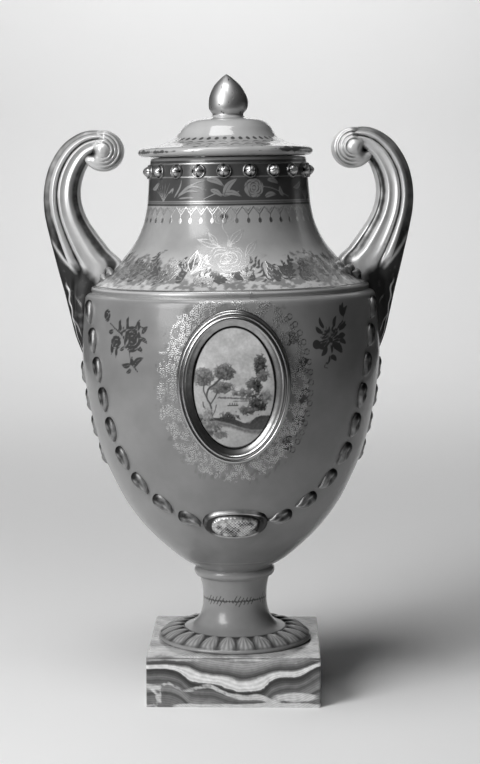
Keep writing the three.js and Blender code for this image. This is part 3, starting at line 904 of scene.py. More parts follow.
def paint_picture(mesh, points):
    """The lake view, drawn across and up from the middle of the oval."""
    bearing = 0 if points[:, 1].mean() < 0 else 180
    p = flat(points, bearing, FRAME_HEIGHT)
    rough = clouds(p, 2.2, 3.1 + bearing)
    cloud = clouds(p, 11, 8.7 + bearing)
    x, y = p.T
    tone = 0.74 + 0.04 * y / 40 + 0.09 * cloud
    wash(tone, 0.71 + 0.05 * cloud, -4 - y, 2)
    far_shore = np.minimum(0.55 - np.abs(y + 6.6 + 0.06 * x), 11 - np.abs(x))
    wash(tone, 0.42, far_shore + 0.5 * rough, 0.4)
    reflection = np.minimum(0.4 - np.abs(y + 8.6), 6 - np.abs(x - 5))
    wash(tone, 0.5, reflection + 0.4 * rough, 0.4)
    for spot, size in ((1, 2.4), (6, 3.4), (10, 2.6)):
        crown(tone, p, rough, (spot, -4.4 + 0.4 * size), (size, size * 0.8), 0.44)
    # A jetty: one plank line and four posts.
    wash(tone, 0.3, np.minimum(0.35 - np.abs(y + 11.4), 3.6 - np.abs(x + 1)), 0.25)
    for post in (-3, -1.4, 0.2, 1.6):
        wash(tone, 0.34, np.minimum(0.25 - np.abs(x - post), 0.9 - np.abs(y + 10.6)), 0.25)
    trunks = bare(p)
    for line, width in (([(-15, -24), (-15.5, -12), (-18.4, -6), (-17, 0), (-13, 3), (-8, 8)], 1.1),
                        ([(-15.5, -10), (-13, -6), (-11, -2)], 0.8),
                        ([(-18.4, -6), (-20.4, -1), (-20, 4), (-22, 8)], 0.8),
                        ([(-16, -19), (-20, -14), (-21, -9)], 0.6),
                        ([(-15, -19), (-13, -15), (-12, -11)], 0.5)):
        brush(trunks, p, curve(line, 12), width)
    crown(tone, p, rough, (-20.5, 8), (7, 6.2), 0.44)
    crown(tone, p, rough, (-6.4, 11), (6.8, 5.6), 0.38)
    crown(tone, p, rough, (-8.5, 0.8), (7.8, 4), 0.42)
    # Dots of paint hang from the lowest bough.
    for k in range(14):
        dot = np.hypot(x + 20 - 0.4 * k % 3, y + 12 + k * 0.7)
        wash(trunks, 0.2, np.minimum(0.1, 0.35 - dot))
    wash(tone, 0.33, trunks, 0.35)
    for middle, half, value in (((17.5, 14.5), (4, 8), 0.3), ((12, 3), (4.6, 3.8), 0.42),
                                ((15, 2), (3.2, 5), 0.28), ((19.5, 8), (4, 4), 0.42),
                                ((16, -11), (6, 5), 0.27), ((9, -15), (6, 3), 0.36),
                                ((21, -6), (4, 4), 0.5), ((13, -5), (3.6, 1.2), 0.3)):
        crown(tone, p, rough, middle, half, value)
    bank = np.interp(x, [-28, -16, -8, 0, 6, 11, 28], [-16, -19, -20.6, -21.4, -24, -22, -21])
    wash(tone, 0.5 + 0.06 * cloud, bank - y + 0.4 * rough, 0.5)
    crown(tone, p, rough, (-3.4, -19.5), (6, 1.9), 0.3)
    crown(tone, p, rough, (-5, -18), (2.6, 1.9), 0.3)
    path = np.interp(x, [-28, -12, -3, 5, 11, 18, 28], [-22.5, -22, -24, -27, -28.6, -28.8, -28])
    shore = np.interp(x, [-12, -6, 0, 6, 10, 14, 18], [-20, -19.4, -20.6, -23.5, -24, -20, -19])
    wash(tone, 0.26, np.minimum(y - path, shore - y) + 0.3 * rough, 0.4)
    wash(tone, 0.68 + 0.05 * cloud, path - y + 0.2 * rough, 0.8)
    wash(tone, 0.42, np.minimum(path - y, y - path + 2.4) + 0.6 * rough, 1.2)
    crown(tone, p, rough, (-15, -27.5), (6, 4.4), 0.36)
    crown(tone, p, rough, (-10, -31), (4.4, 3), 0.42)
    crown(tone, p, rough, (-18, -18), (3.4, 5), 0.55)
    edge = 1 - np.hypot(x / (FRAME_HALF[0] - 11.1), y / (FRAME_HALF[1] - 11.1))
    wash(tone, 0.1, -edge * 30 + 0.45, 0.3)
    store(mesh, "tone", tone.clip(0.05, 0.92))


# %% [markdown]
# ## How the plinth is marbled
# Agate ware is made by folding slips of two or three colours and drawing a comb through
# them. One broad pale slip runs along the front in a long wave and a thinner one follows
# it; every vertex stores its place across the bands, and the shader turns that into slips.

# %% Marbling
PALE_SLIP = [
    (-61, 28.6, 1.0), (-54, 28.9, 0.9), (-46, 28.7, 1.0), (-38, 27.4, 2.2), (-31, 24, 4.6),
    (-25, 21.4, 4), (-14, 19.8, 2.8), (-4, 17.6, 4.2), (6, 16.4, 4.2), (16, 17.2, 4.4),
    (22, 18.6, 4.2), (26, 21.4, 2.8), (34, 23.6, 2), (46, 25, 2), (53, 28, 1.4),
    (61, 31.2, 0.8), (69, 31, 1), (82, 27, 2), (110, 20, 3), (160, 27, 2), (215, 14, 4),
    (270, 24, 2), (330, 20, 4), (380, 30, 1.5), (427, 28.6, 1)]
THIN_SLIP = [
    (-61, 15.4), (-52, 14.6), (-46, 17.2), (-41, 14.8), (-36, 12.6), (-30, 12.4),
    (-22, 14.8), (-16, 15.2), (-9, 11.6), (-1.6, 8.6), (8, 6.8), (18, 7.6), (26, 4.6),
    (36, 1.5), (50, -1), (66, 2), (90, 8), (140, 10), (220, 5), (300, 12), (380, 6),
    (427, 15.4)]


def paint_agate(mesh, points):
    """Each vertex's place across the combed bands, and its distance from the thin slip."""
    x, y, z = points.T
    half = PLINTH_SIDE / 2
    girth = np.select([y < 2 - half, x > half - 2, y > half - 2, x < 2 - half],
                      [x, 2 * half + y, 4 * half - x, 6 * half - y], x)
    top = z > PLINTH_HEIGHT - 0.7
    slip = curve(PALE_SLIP, 300)
    centre = np.interp(girth, slip[:, 0], slip[:, 1])
    width = np.interp(girth, slip[:, 0], slip[:, 2])
    # The top takes its marbling from the paler bands, partly as painted light on the lit top.
    height = np.where(top, PLINTH_HEIGHT + (y + half) * 0.36 + 5 * np.sin(x / 17 + 1.3), z)
    off = height - centre
    across = 0.5 + 0.05 * (off / width).clip(-1, 1)
    across += np.sign(off) * np.maximum(np.abs(off) - width, 0) / 44
    thin = np.interp(girth, *curve(THIN_SLIP, 300).T)
    streak = 0.9 - np.abs(z - thin) * 0.8
    # Two rings where the slip curled up at the front's left end.
    for size in (6.5, 9.5):
        ring = np.abs(np.hypot(girth + 60, (z - 7) * 1.05) - size)
        streak = np.maximum(streak, np.where(girth < -45, 0.45 - ring, BARE))
    patch = 1 - np.hypot((girth - 44) / 14, (z - 7.6) / 3)
    streak = np.maximum(streak, patch * 3)
    streak = np.maximum(streak, np.minimum(1.4 - np.abs(z - 1), (girth + 40) / 6))
    edge = np.where(y < 2 - half, 0.7 - np.abs(z - 33.2 - 0.5 * np.sin(x / 9)), BARE)
    # Light streaks over the top, partly marbling and partly painted light.
    on_top = 0.1 + 0.3 * np.sin(x / 13 + y / 7)
    store(mesh, "band", across)
    store(mesh, "streak", np.where(top, on_top, np.maximum(streak, edge)))


# %% [markdown]
# ## The neck
# The neck flares from a narrow mouth down to the shoulder ridge. Its outline runs up the
# outside, over the lip and down the inside, so the wall is a true wall. A spin would make
# it; `turned` wraps a grid round the axis instead, which gives the same faces sooner. The
# columns crowd together at the front, where the painting is.

# %% Neck
LIP = [(54.6, 382.4), (52, 382.8), (50.2, 381.8)]
neck_outline = np.vstack([
    even(neck_line, 0.62), LIP, even(inward(neck_line, WALL)[::-1], 4)[1:],
])
neck_form = move(turned(neck_outline, 430), crowd_front)
piece("urn_neck", neck_form, porcelain, "urn", decorate=paint_neck)

# %% [markdown]
# ## The body
# Body, shoulder and ridge are thrown in one. Rows lie closer together where sprays and
# borders are painted, and the bowl inside follows the wall down to its own floor.

# %% Body
RIDGE = [(98.9, 289.8), (98.7, 292.6), (96.6, 293.8)]
BOWL_FLOOR = [(17, 97.2), (0, 96)]
ridge_line = even(curve([corner_line[-1], (98.5, 289.2), *RIDGE], 40), 0.6)
body_inside = even(inward(body_line, WALL)[::-1], 5)
# Rows lie closest where the sprays are painted.
body_rows = np.vstack([even(body_line[(body_line[:, 1] > low) & (body_line[:, 1] <= high)], fine)
                       for low, high, fine in ((90, 176, 2.2), (176, 236, 1.15), (236, 284, 0.8))])
body_outline = np.vstack([
    [(0, 87.4), (26, 87.4)], body_rows, even(corner_line, 0.6), ridge_line,
    [(90.3, 293.8), (96.5, 285)], body_inside[2:], BOWL_FLOOR,
])
body_form = move(turned(body_outline, 380), crowd_front)
piece("urn_body", body_form, porcelain, "urn", decorate=paint_body)

# %% [markdown]
# ## Stem and foot
# The stem rises from a low round foot that was pressed in a mould with two dozen leaves.
# Their relief is too fine for a modifier to guess, so the spun foot is given enough rows
# and columns, and each vertex is lifted by how far it lies inside its leaf: leaves touch
# at their rounded tips, leave a deep notch between them at the root, and carry fine veins
# that bend towards the tip.

# %% Stem and foot
LEAVES = 24
LEAF_TIP, LEAF_ROOT = 54.3, 36.4
STEM_RING = 3.9
stem_line = curve([
    (35.9, 44.6), (29.6, 47.6), (25.2, 53.4), (23.2, 62), (23.4, 73), (25.6, 83)], 100)
leaf_line = curve([(54.3, 39.2), (49, 42), (42.5, 43.8), (36.7, 44.6)], 60)
FOOT_RIM = [(55, FOOT_BOTTOM), (55.6, 37.1), (55.5, 38), (54.8, 38.7)]
FOOT_HOLLOW = [
    (0, 84), (15.5, 82), (16.8, 62), (21, 49), (34, 40.4), (48.5, FOOT_BOTTOM)]


def along_leaf(p):
    """How far out each point of the foot lies, from 0 at the leaves' roots to 1 at their tips."""
    return (np.hypot(p[:, 0], p[:, 1]) - LEAF_ROOT) / (LEAF_TIP - LEAF_ROOT)


def across_leaf(p):
    """How far each point lies from its leaf's midrib, from 0 to 1."""
    return np.abs(((bearing_of(p) / (360 / LEAVES)) % 1 - 0.5) * 2)


def leaf_share(p):
    """How far inside its leaf each point of the foot lies, from 0 in a notch to 1."""
    out = along_leaf(p)
    half = 0.5 + 0.52 * ramp(0.02, 0.6, out)
    rounded = np.clip(1 - ((out - 0.55) / 0.5) ** 4, 0, 1)
    return np.clip(1 - (across_leaf(p) / half) ** 2, 0, 1) * rounded


def leaf_veins(p):
    """Fine ribs that fan out from each leaf's root, from -1 to 1."""
    out = along_leaf(p)
    return np.cos(np.arctan2(across_leaf(p) * 7, out * 18) * 30) * ramp(0.1, 0.4, out)


def press_leaves(p):
    """Lifts the foot's bank into a ring of veined leaves."""
    out = along_leaf(p)
    on_bank = (p[:, 2] > 38.9) & (out > 0) & (p[:, 2] < 47)
    inside = leaf_share(p)
    midrib = np.exp(-(across_leaf(p) / 0.07) ** 2) * ramp(0.95, 0.6, out)
    lift = 1.7 * inside ** 0.45 - 0.8 + 0.2 * leaf_veins(p) * ramp(0, 0.35, inside)
    lift += 0.25 * midrib
    fade = ramp(0, 0.05, out) * ramp(1.03, 0.96, out)
    p[:, 2] += np.where(on_bank, lift * fade, 0)
    return p


def paint_foot(mesh, points):
    """A feathered border round the stem; leaves shaded at their roots and notches."""
    turn, z = bearing_of(points), points[:, 2]
    a = np.radians(turn)
    dark = band(points, 66.1, 67.3) + 0.3 * np.cos(a * 67)
    side = np.abs((turn + 5 * (z - 66.7)) / 7.2 % 1 - 0.5) * 7.2 * 0.41
    reach = 2.4 + 1.6 * np.sin(a * 7) + 1.2 * np.sin(a * 13 + 1)
    dark = np.maximum(dark, np.minimum(0.42 - side, reach - np.abs(z - 66.7)))
    out = along_leaf(points)
    bank = ramp(0, 0.05, out) * ramp(1.04, 0.98, out)
    pressed = ramp(0.1, 0.7, leaf_share(points))
    ground = 0.27 + 0.05 * bank - 0.24 * bank * (1 - pressed)
    ground -= 0.09 * bank * (ramp(0.35, 0, out) - leaf_veins(points) * pressed)
    coat(mesh, points, 30, ground=ground.clip(0.03), dark=dark)


foot_outline = np.vstack([
    FOOT_HOLLOW, FOOT_RIM, even(leaf_line, 0.42), even(stem_line, 1.1),
    arc((25.2, 85.8), STEM_RING, -70, 62, 14), [(26.6, 89.3), (0, 89.3)],
])
foot_form = move(turned(foot_outline, 19 * LEAVES), press_leaves)
piece("urn_foot", foot_form, porcelain, "urn", decorate=paint_foot,
      crease=60)

# %% [markdown]
# ## Handles
# Each handle was cast as one long scroll. It rises from the shoulder, swells outwards and
# rolls into a volute; below the shoulder it runs on as a leaf that hugs the body. The two
# edges seen from the front are smooth lines, and the section between them is a leaf,
# reeds, a groove, a fluted panel and a cove. A grid bent round and along those lines makes
# it: one direction of the grid goes round the section, the other from volute to leaf tip.

# %% Handles
HANDLE_OUTER = curve([
    (86, 402.4), (98, 403), (108, 399.7), (118.2, 391.8), (126.8, 378), (131, 362),
    (131.1, 346), (128, 329), (124.6, 314.5), (121.6, 302), (118, 288), (114.6, 273),
    (111, 257.5), (106.4, 245)], 150)
HANDLE_INNER = curve([
    (87, 388), (93, 384), (98.4, 379.5), (102.6, 371), (104.8, 361.5), (104.4, 352),
    (101, 341.5), (94.6, 331.2), (85.6, 319), (77.2, 308.4), (88, 295.5), (98, 280),
    (102, 262), (102.4, 246)], 150)
HALF_DEPTH = 13
STRAP = curve([
    (0, 0), (0.015, 0.26), (0.05, 0.45), (0.1, 0.55), (0.16, 0.66), (0.2, 0.82), (0.24, 0.96),
    (0.28, 1.0), (0.315, 0.95), (0.34, 0.84), (0.37, 0.8), (0.4, 0.87), (0.43, 0.97),
    (0.46, 1.0), (0.52, 0.95), (0.58, 0.93), (0.63, 0.96), (0.67, 1.0), (0.71, 0.98),
    (0.75, 0.88), (0.8, 0.72), (0.85, 0.62), (0.89, 0.58), (0.93, 0.57), (0.965, 0.48),
    (0.99, 0.26), (1, 0)], 400)
LEAF = curve([
    (0, 0), (0.02, 0.2), (0.06, 0.34), (0.12, 0.5), (0.16, 0.58), (0.2, 0.6), (0.26, 0.62),
    (0.36, 0.78), (0.5, 0.94), (0.66, 1), (0.85, 0.93), (1, 0.8)], 200)
# More columns fall on the edges and reeds than on the flat panel.
SPREAD = np.interp(np.linspace(0, 1, 97), [0, 0.12, 0.6, 0.78, 0.92, 1],
                   [0, 0.04, 0.46, 0.72, 0.95, 1])


def handle_form():
    """The strap of the handle at +X."""
    around, along = 2 * 96, len(HANDLE_OUTER) - 1
    bm = bmesh.new()
    bmesh.ops.create_grid(bm, x_segments=around, y_segments=along, size=0.5)

    def place(p):
        turn = (p[:, 0] + 0.5) * 2
        share = np.where(turn <= 1, turn, 2 - turn)
        side = np.where(turn <= 1, -1, 1)
        station = np.rint((p[:, 1] + 0.5) * along).astype(int)
        s = station / along
        eased = np.interp(share, np.linspace(0, 1, 97), SPREAD)
        to_leaf = ramp(0.62, 0.75, s)
        depth = np.interp(eased, *STRAP.T) * (1 - to_leaf) + np.interp(eased, *LEAF.T) * to_leaf
        # The tail leaf is serrated: a raised wavy edge with a few veins off it.
        wavy = 0.1 + 0.022 * np.sin(s * 100) + 0.1 * ramp(0.85, 1, s)
        edge = np.exp(-((eased - wavy) / 0.018) ** 2) * ramp(0.72, 0.76, s)
        side_vein = np.exp(-((eased - wavy - 0.5 * (s * 9.3 % 1)) / 0.025) ** 2)
        side_vein *= ramp(0.78, 0.84, s) * (eased > wavy) * ramp(0.6, 0.3, eased)
        depth += (0.06 * edge + 0.03 * side_vein) * ramp(1.0, 0.95, s)
        # A slanting band down the lower strap is painted lighter, a painted highlight.
        lit = np.exp(-((eased - 0.11 - 1.6 * (s - 0.6)) / 0.035) ** 2)
        streak = lit * ramp(0.5, 0.6, s) * ramp(0.72, 0.66, s)
        spread = 1 + 0.16 * np.sin(math.pi * np.minimum(s / 0.9, 1)) ** 2
        taper = np.sqrt(np.clip((1 - s) / 0.4, 0.002, 1))
        at = HANDLE_OUTER[station] * (1 - eased)[:, None] + HANDLE_INNER[station] * eased[:, None]
        # Painted shade: darker at the strap's outer edge, in its groove and in its inner cove; the
        # tail leaf is painted darker, with its raised edge and veins left lighter as a painted
        # highlight.
        on_strap = 0.2 * ramp(0.21, 0.15, eased) * ramp(0, 0.02, eased)
        on_strap += 0.4 * np.exp(-((eased - 0.37) / 0.022) ** 2)
        on_strap += 0.36 * ramp(0.74, 0.82, eased) * ramp(0.95, 0.9, eased)
        on_leaf = 0.46 - 0.7 * edge - 0.4 * side_vein
        slanted = s - 0.2 * (eased - 0.21)
        to_dark = np.where(eased < 0.21, ramp(0.4, 0.6, s), ramp(0.62, 0.68, slanted))
        hollow = on_strap * (1 - to_dark) + on_leaf * to_dark - 0.4 * streak
        y = side * depth * HALF_DEPTH * spread * taper
        return np.stack([at[:, 0], y, at[:, 1]], 1), hollow

    move(bm, place)
    bmesh.ops.remove_doubles(bm, verts=bm.verts, dist=0.004)
    ends = [edge for edge in bm.edges if edge.is_boundary]
    bmesh.ops.holes_fill(bm, edges=ends, sides=0)
    return bm


VOLUTE_CENTRE = (88.2, 388.3)
VOLUTE_SCALE = 1.035
VOLUTE_PITCH = 2.5


def volute_form():
    """The roll at the handle's head: a disc with a boss and a spiral of steps round it."""
    half = curve([(0.01, 18.6), (2.2, 18.3), (3.9, 17.2), (4.9, 16.4), (6.7, 15.9), (9.1, 14.4),
                  (11.6, 13.3), (13.2, 12.0), (13.9, 9.5), (13.9, 4), (13.9, 0.001)], 90)
    outline = np.vstack([half, (half * [1, -1])[::-1]])
    outline[0, 0] = outline[-1, 0] = 0
    bm = turned(even(outline, 0.34), 96)

    def coil(p):
        r = np.hypot(p[:, 0], p[:, 1])
        a = np.arctan2(p[:, 1], p[:, 0])
        wave = np.cos(2 * math.pi * (r / VOLUTE_PITCH) + a)
        wave = np.sign(wave) * np.abs(wave) ** 0.6
        rings = ramp(3.8, 5.2, r) * ramp(13.6, 12.2, r) * ramp(0.9, 1.5, np.abs(a + 0.2))
        notch = np.exp(-((r - 7) / 2.6) ** 2 - ((a + 0.2) / 0.5) ** 2)
        sunk = 6 * ramp(5, 10, r) * ramp(-0.6, 0, a) * ramp(1.7, 1.1, a)
        p[:, 2] += np.sign(p[:, 2]) * (0.42 * wave * rings - 3.4 * notch - sunk)
        # Painted shade in the notch and in the low turns of the spiral steps.
        hollow = 0.5 * notch + 0.22 * ramp(0.2, -0.6, wave) * rings
        p = p * VOLUTE_SCALE
        moved = np.stack([p[:, 0] + VOLUTE_CENTRE[0], p[:, 2], p[:, 1] + VOLUTE_CENTRE[1]], 1)
        return moved, hollow

    return move(bm, coil)


for side, name in ((0, "handle_right"), (math.pi, "handle_left")):
    form = joined([handle_form(), volute_form()])
    bmesh.ops.rotate(form, verts=form.verts, cent=(0, 0, 0),
                     matrix=Matrix.Rotation(side, 3, "Z"))
    piece(name, form, handle_glaze, "urn", crease=30)

# %% [markdown]
# ## Frames, tablets, studs and husks
# These were pressed in small moulds and luted on. Each is made flat or round its own axis
# and then laid on the wall: `lay` reads a point's x and y as distances across and up the
# wall and its z as the lift off it, so a flat oval becomes one that follows the belly.

# %% Laying relief on the wall
def lay(bm, bearing, height):
    """Bends a flat form over the wall at a bearing and height."""
    def place(p):
        turn = np.degrees(p[:, 0] / radius_at(height))
        return on_wall(bearing + turn, height + p[:, 1], p[:, 2])
    return move(bm, place)


# %% Oval frames
FRONT_MOULDING = [
    (-0.4, -1.6), (-0.3, 0.2), (0.3, 1.5), (0.9, 1.9), (1.2, 2.9), (2.0, 4.2), (2.9, 4.7),
    (3.7, 4.6), (4.1, 4.1), (4.5, 4.1), (5.1, 4.5), (5.8, 4.6), (6.6, 4.2), (7.1, 3.4),
    (7.5, 3.2), (8.5, 2.5), (9.6, 1.6), (10.4, 1.0), (10.8, 0.9), (11.2, 0.4), (11.2, -1.6),
]
BACK_MOULDING = [
    (-0.4, -1.6), (0.2, 1.4), (0.9, 2.4), (2.0, 3.9), (3.2, 4.3), (4.6, 4.0), (6, 3.4),
    (8.4, 1.8), (11, 0.5), (11.2, -1.6)]


def oval_frame(moulding, bearing):
    """An oval ring with a moulded section, laid on the wall."""
    section = curve(moulding, 110)
    section[:, 0] = FRAME_HALF[0] - section[:, 0]
    bm = turned(even(section, 0.3), 200)

    def oval(p):
        r = np.hypot(p[:, 0], p[:, 1])
        inset = FRAME_HALF[0] - r
        # Painted shade where the moulding meets the wall and the picture, in its groove and on its
        # inner cove.
        hollow = 0.16 * np.exp(-((inset - 4.2) / 0.4) ** 2) + 0.4 * ramp(0.6, 0, inset)
        hollow += 0.12 * ramp(6.6, 7.8, inset) + 0.5 * ramp(10.2, 10.9, inset)
        return np.stack([p[:, 0], p[:, 1] / r * (FRAME_HALF[1] - inset), p[:, 2]], 1), hollow

    return lay(move(bm, oval), bearing, FRAME_HEIGHT)


piece("frame_front", oval_frame(FRONT_MOULDING, 0), gilt_moulding, "urn")
piece("frame_back", oval_frame(BACK_MOULDING, 180), gilt_moulding, "urn")


# %% Pictures inside the frames
def oval_panel(bearing, spacing):
    """A thin glazed panel, crowned a little, that fills a frame."""
    half = (FRAME_HALF[0] - 10.6, FRAME_HALF[1] - 10.6)
    bm = bmesh.new()
    bmesh.ops.create_grid(bm, x_segments=int(2 * half[0] / spacing),
                          y_segments=int(2 * half[1] / spacing), size=1)

    def to_oval(p):
        x, y = p[:, 0], p[:, 1]
        return np.stack([x * np.sqrt(1 - y * y / 2) * half[0],
                         y * np.sqrt(1 - x * x / 2) * half[1], p[:, 2] + 0.55], 1)

    move(bm, to_oval)
    rim = bmesh.ops.extrude_edge_only(bm, edges=[e for e in bm.edges if e.is_boundary])
    skirt = [v for v in rim["geom"] if isinstance(v, bmesh.types.BMVert)]
    bmesh.ops.translate(bm, verts=skirt, vec=(0, 0, -1.8))
    bmesh.ops.holes_fill(bm, edges=[e for e in bm.edges if e.is_boundary], sides=0)
    return lay(bm, bearing, FRAME_HEIGHT)


piece("picture_front", oval_panel(0, 0.4), picture_enamel, "urn",
      decorate=paint_picture)
piece("picture_back", oval_panel(180, 0.8), picture_enamel, "urn",
      decorate=paint_picture)

# %% Tablets under the frames
TABLET_HEIGHT = 132.8
TABLET_HALF = (22.5, 10.5)
TABLET_OUTLINE = [
    (1.0, -1.6), (1.0, 0.4), (0.97, 1.6), (0.93, 2.5), (0.87, 2.7), (0.8, 2.2), (0.75, 2.3),
    (0.71, 3.4), (0.66, 4.3), (0.6, 4.7), (0.4, 4.9), (0.2, 5.0), (0, 5.0)]


def tablet(bearing):
    """A raised cartouche: a beaded rim, a groove and a stippled cushion."""
    outline = even(np.array(TABLET_OUTLINE) * [10.5, 1], 0.35) / [10.5, 1]
    bm = turned(np.vstack([outline, [(0, -1.6)]])[::-1], 120)

    def cartouche(p):
        r = np.hypot(p[:, 0], p[:, 1])
        a = np.arctan2(p[:, 1], p[:, 0])
        box = (np.abs(np.cos(a)) ** 3.2 + np.abs(np.sin(a)) ** 3.2) ** (-1 / 3.2)
        waist = 1 - 0.07 * np.sin(2 * a) ** 2
        reach = r * box * waist
        x, y = reach * np.cos(a) * TABLET_HALF[0], reach * np.sin(a) * TABLET_HALF[1]
        stipple = np.cos(x * 3.1) * np.cos(y * 3.1) * ramp(0.62, 0.5, r)
        beads = np.cos(a * 44) * np.exp(-((r - 0.68) / 0.035) ** 2)
        cup = np.exp(-((x - 16.4) / 2.6) ** 2 - ((y - 1.5) / 3.4) ** 2)
        lift = 0.36 * stipple + 0.4 * beads - 2.4 * cup
        mottle = 0.3 * clouds(np.stack([x, y], 1), 4, 2.6) * ramp(0.8, 0.6, r)
        # Painted shade in the groove round the cushion and in the cup, the stipple's points painted
        # lighter as a painted highlight, and darker towards both ends; the mottle is random.
        hollow = 0.35 * np.exp(-((r - 0.77) / 0.05) ** 2) + 0.7 * cup - 0.2 * stipple
        hollow += mottle + 0.2 * ramp(13, 18, np.abs(x))
        return np.stack([x, y, p[:, 2] + lift * (p[:, 2] > 0)], 1), hollow + 0.2

    return lay(move(bm, cartouche), bearing, TABLET_HEIGHT)


for bearing, name in ((0, "tablet_front"), (180, "tablet_back")):
    piece(name, tablet(bearing), handle_glaze, "urn")

# %% Studs round the neck
STUD_COUNT, STUD_HEIGHT, STUD_RADIUS, STUD_OFFSET = 20, 373, 5.2, -4
STUD_OUTLINE = [
    (1.0, -1.6), (1.0, 0.4), (0.93, 1.3), (0.84, 1.6), (0.76, 1.2), (0.72, 1.3), (0.66, 2.3),
    (0.5, 3.5), (0.3, 4.3), (0.12, 4.7), (0, 4.8)]


def stud(index):
    """One rosette: a bead in a ring, cut by four grooves."""
    outline = curve(np.array(STUD_OUTLINE) * [STUD_RADIUS, 1], 22)
    bm = turned(np.vstack([outline, [(0, -1.6)]])[::-1], 32)

    def rosette(p):
        r = np.hypot(p[:, 0], p[:, 1])
        a = np.arctan2(p[:, 1], p[:, 0])
        groove = np.exp(-(np.sin(2 * a) / 0.35) ** 2) * ramp(0.8, 1.6, r) * ramp(4.6, 3.6, r)
        p[:, 2] -= 0.55 * groove
        # Painted shade in the four grooves, and the ring round the bead painted darker.
        ring = ramp(0.56, 0.7, r / STUD_RADIUS)
        return p, 0.4 * groove + 0.24 * ring

    return lay(move(bm, rosette), STUD_OFFSET + index * 360 / STUD_COUNT, STUD_HEIGHT)


piece("neck_studs", joined([stud(i) for i in range(STUD_COUNT)]), stud_gilding,
      "urn")

# %% Husk swags
HUSK_LENGTH, HUSK_WIDTH, HUSK_PROUD = 17.8, 10, 3.4
HUSKS_FRONT, HUSKS_BACK, HUSKS_SIDE = 9, 7, 4
FESTOON = [
    (70, 277), (63.5, 254), (59.6, 232), (58, 206), (54.5, 181), (46.5, 159.5), (34, 143.5),
    (24, 136.5)]


def husk(place, along):
    """A seed husk with a hollow face, its tail towards the next one."""
    bm = bmesh.new()
    bmesh.ops.create_uvsphere(bm, u_segments=26, v_segments=18, radius=1)
    outward = place * [1, 1, 0]
    outward /= np.linalg.norm(outward)
    side = np.cross(along, outward)
    side /= np.linalg.norm(side)
    rise = np.cross(side, along)

    def shape(p):
        length = p[:, 2]
        width = p[:, 0] * (1 + 0.3 * length - 0.25 * ramp(-0.2, -1, length))
        facing = p[:, 1] > 0
        hollow = np.exp(-((length - 0.1) / 0.5) ** 2 - (p[:, 0] / 0.5) ** 2) * facing
        fold = np.exp(-((p[:, 0] - 0.1 - 0.3 * length) / 0.12) ** 2) * ramp(-0.9, -0.3, length)
        fold = fold * facing * ramp(0.9, 0.4, length)
        lift = p[:, 1] * (1 - 0.55 * hollow) + 0.22 * fold
        curl = 0.34 * ramp(-0.3, -1, length) ** 2
        moved = (place + np.outer(-length * HUSK_LENGTH / 2, along)
                 + np.outer((width + curl) * HUSK_WIDTH / 2, side)
                 + np.outer(lift * HUSK_PROUD, rise))
        # Painted shade darkens the dished face, a painted highlight lightens the raised fold, and
        # the husk is darker towards its head.
        return moved, 0.32 * hollow ** 0.7 - 0.25 * fold + 0.3 * ramp(0.3, 0.8, length) + 0.1

    return move(bm, shape)


def knot(place, along):
    """A husk cut short for the curled tips at the handles' feet."""
    bm = husk(place, along)
    return move(bm, lambda p: place + (p - place) * 0.9)


def husk_chain(bearings, heights, count, lift):
    """Husks in a row along a line on the wall."""
    line = on_wall(np.array(bearings, float), np.array(heights, float), lift)
    route = curve(line, 200)
    run = np.concatenate([[0], np.cumsum(np.linalg.norm(np.diff(route, axis=0), axis=1))])
    at = np.linspace(0, run[-1], count)
    spots = np.stack([np.interp(at, run, column) for column in route.T], 1)
    ahead = np.stack([np.interp(at + 1, run, column) for column in route.T], 1)
    behind = np.stack([np.interp(at - 1, run, column) for column in route.T], 1)
    ways = ahead - behind
    return [husk(spot, way / np.linalg.norm(way)) for spot, way in zip(spots, ways)]


husks = []
bearings, heights = np.array(FESTOON).T
side_drop = 231 - 19.4 * np.arange(HUSKS_SIDE)
for mirror in (1, -1):
    husks += husk_chain(mirror * bearings, heights, HUSKS_FRONT, 0.6)
    husks += husk_chain(mirror * (180 - bearings), heights, HUSKS_BACK, 0.6)
    husks += husk_chain([90 * mirror] * HUSKS_SIDE, side_drop, HUSKS_SIDE, -0.6)
# A curled leaf tip covers the joint where each handle stands on the shoulder.
for bearing, mirror in ((74, 1), (-81, -1), (106, 1), (-106, -1)):
    for turn, height in ((0, 301.4), (3.4 * mirror, 297.8)):
        spot = on_wall(np.array([bearing + turn]), np.array([height]), 1.6)[0]
        ahead = on_wall(np.array([bearing + turn - 5 * mirror]), np.array([height + 1]), 1.6)[0]
        husks.append(knot(spot, (ahead - spot) / np.linalg.norm(ahead - spot)))
piece("husk_swags", joined(husks), husk_glaze, "urn", crease=60)

# %% [markdown]
# ## Lid
# The lid is a shallow dome with a rolled brim, a flange that drops into the mouth and a
# pointed bud for a knob. It sits a little to one side, and the bud was luted on slightly
# off the middle, which a small drift along the height gives back.

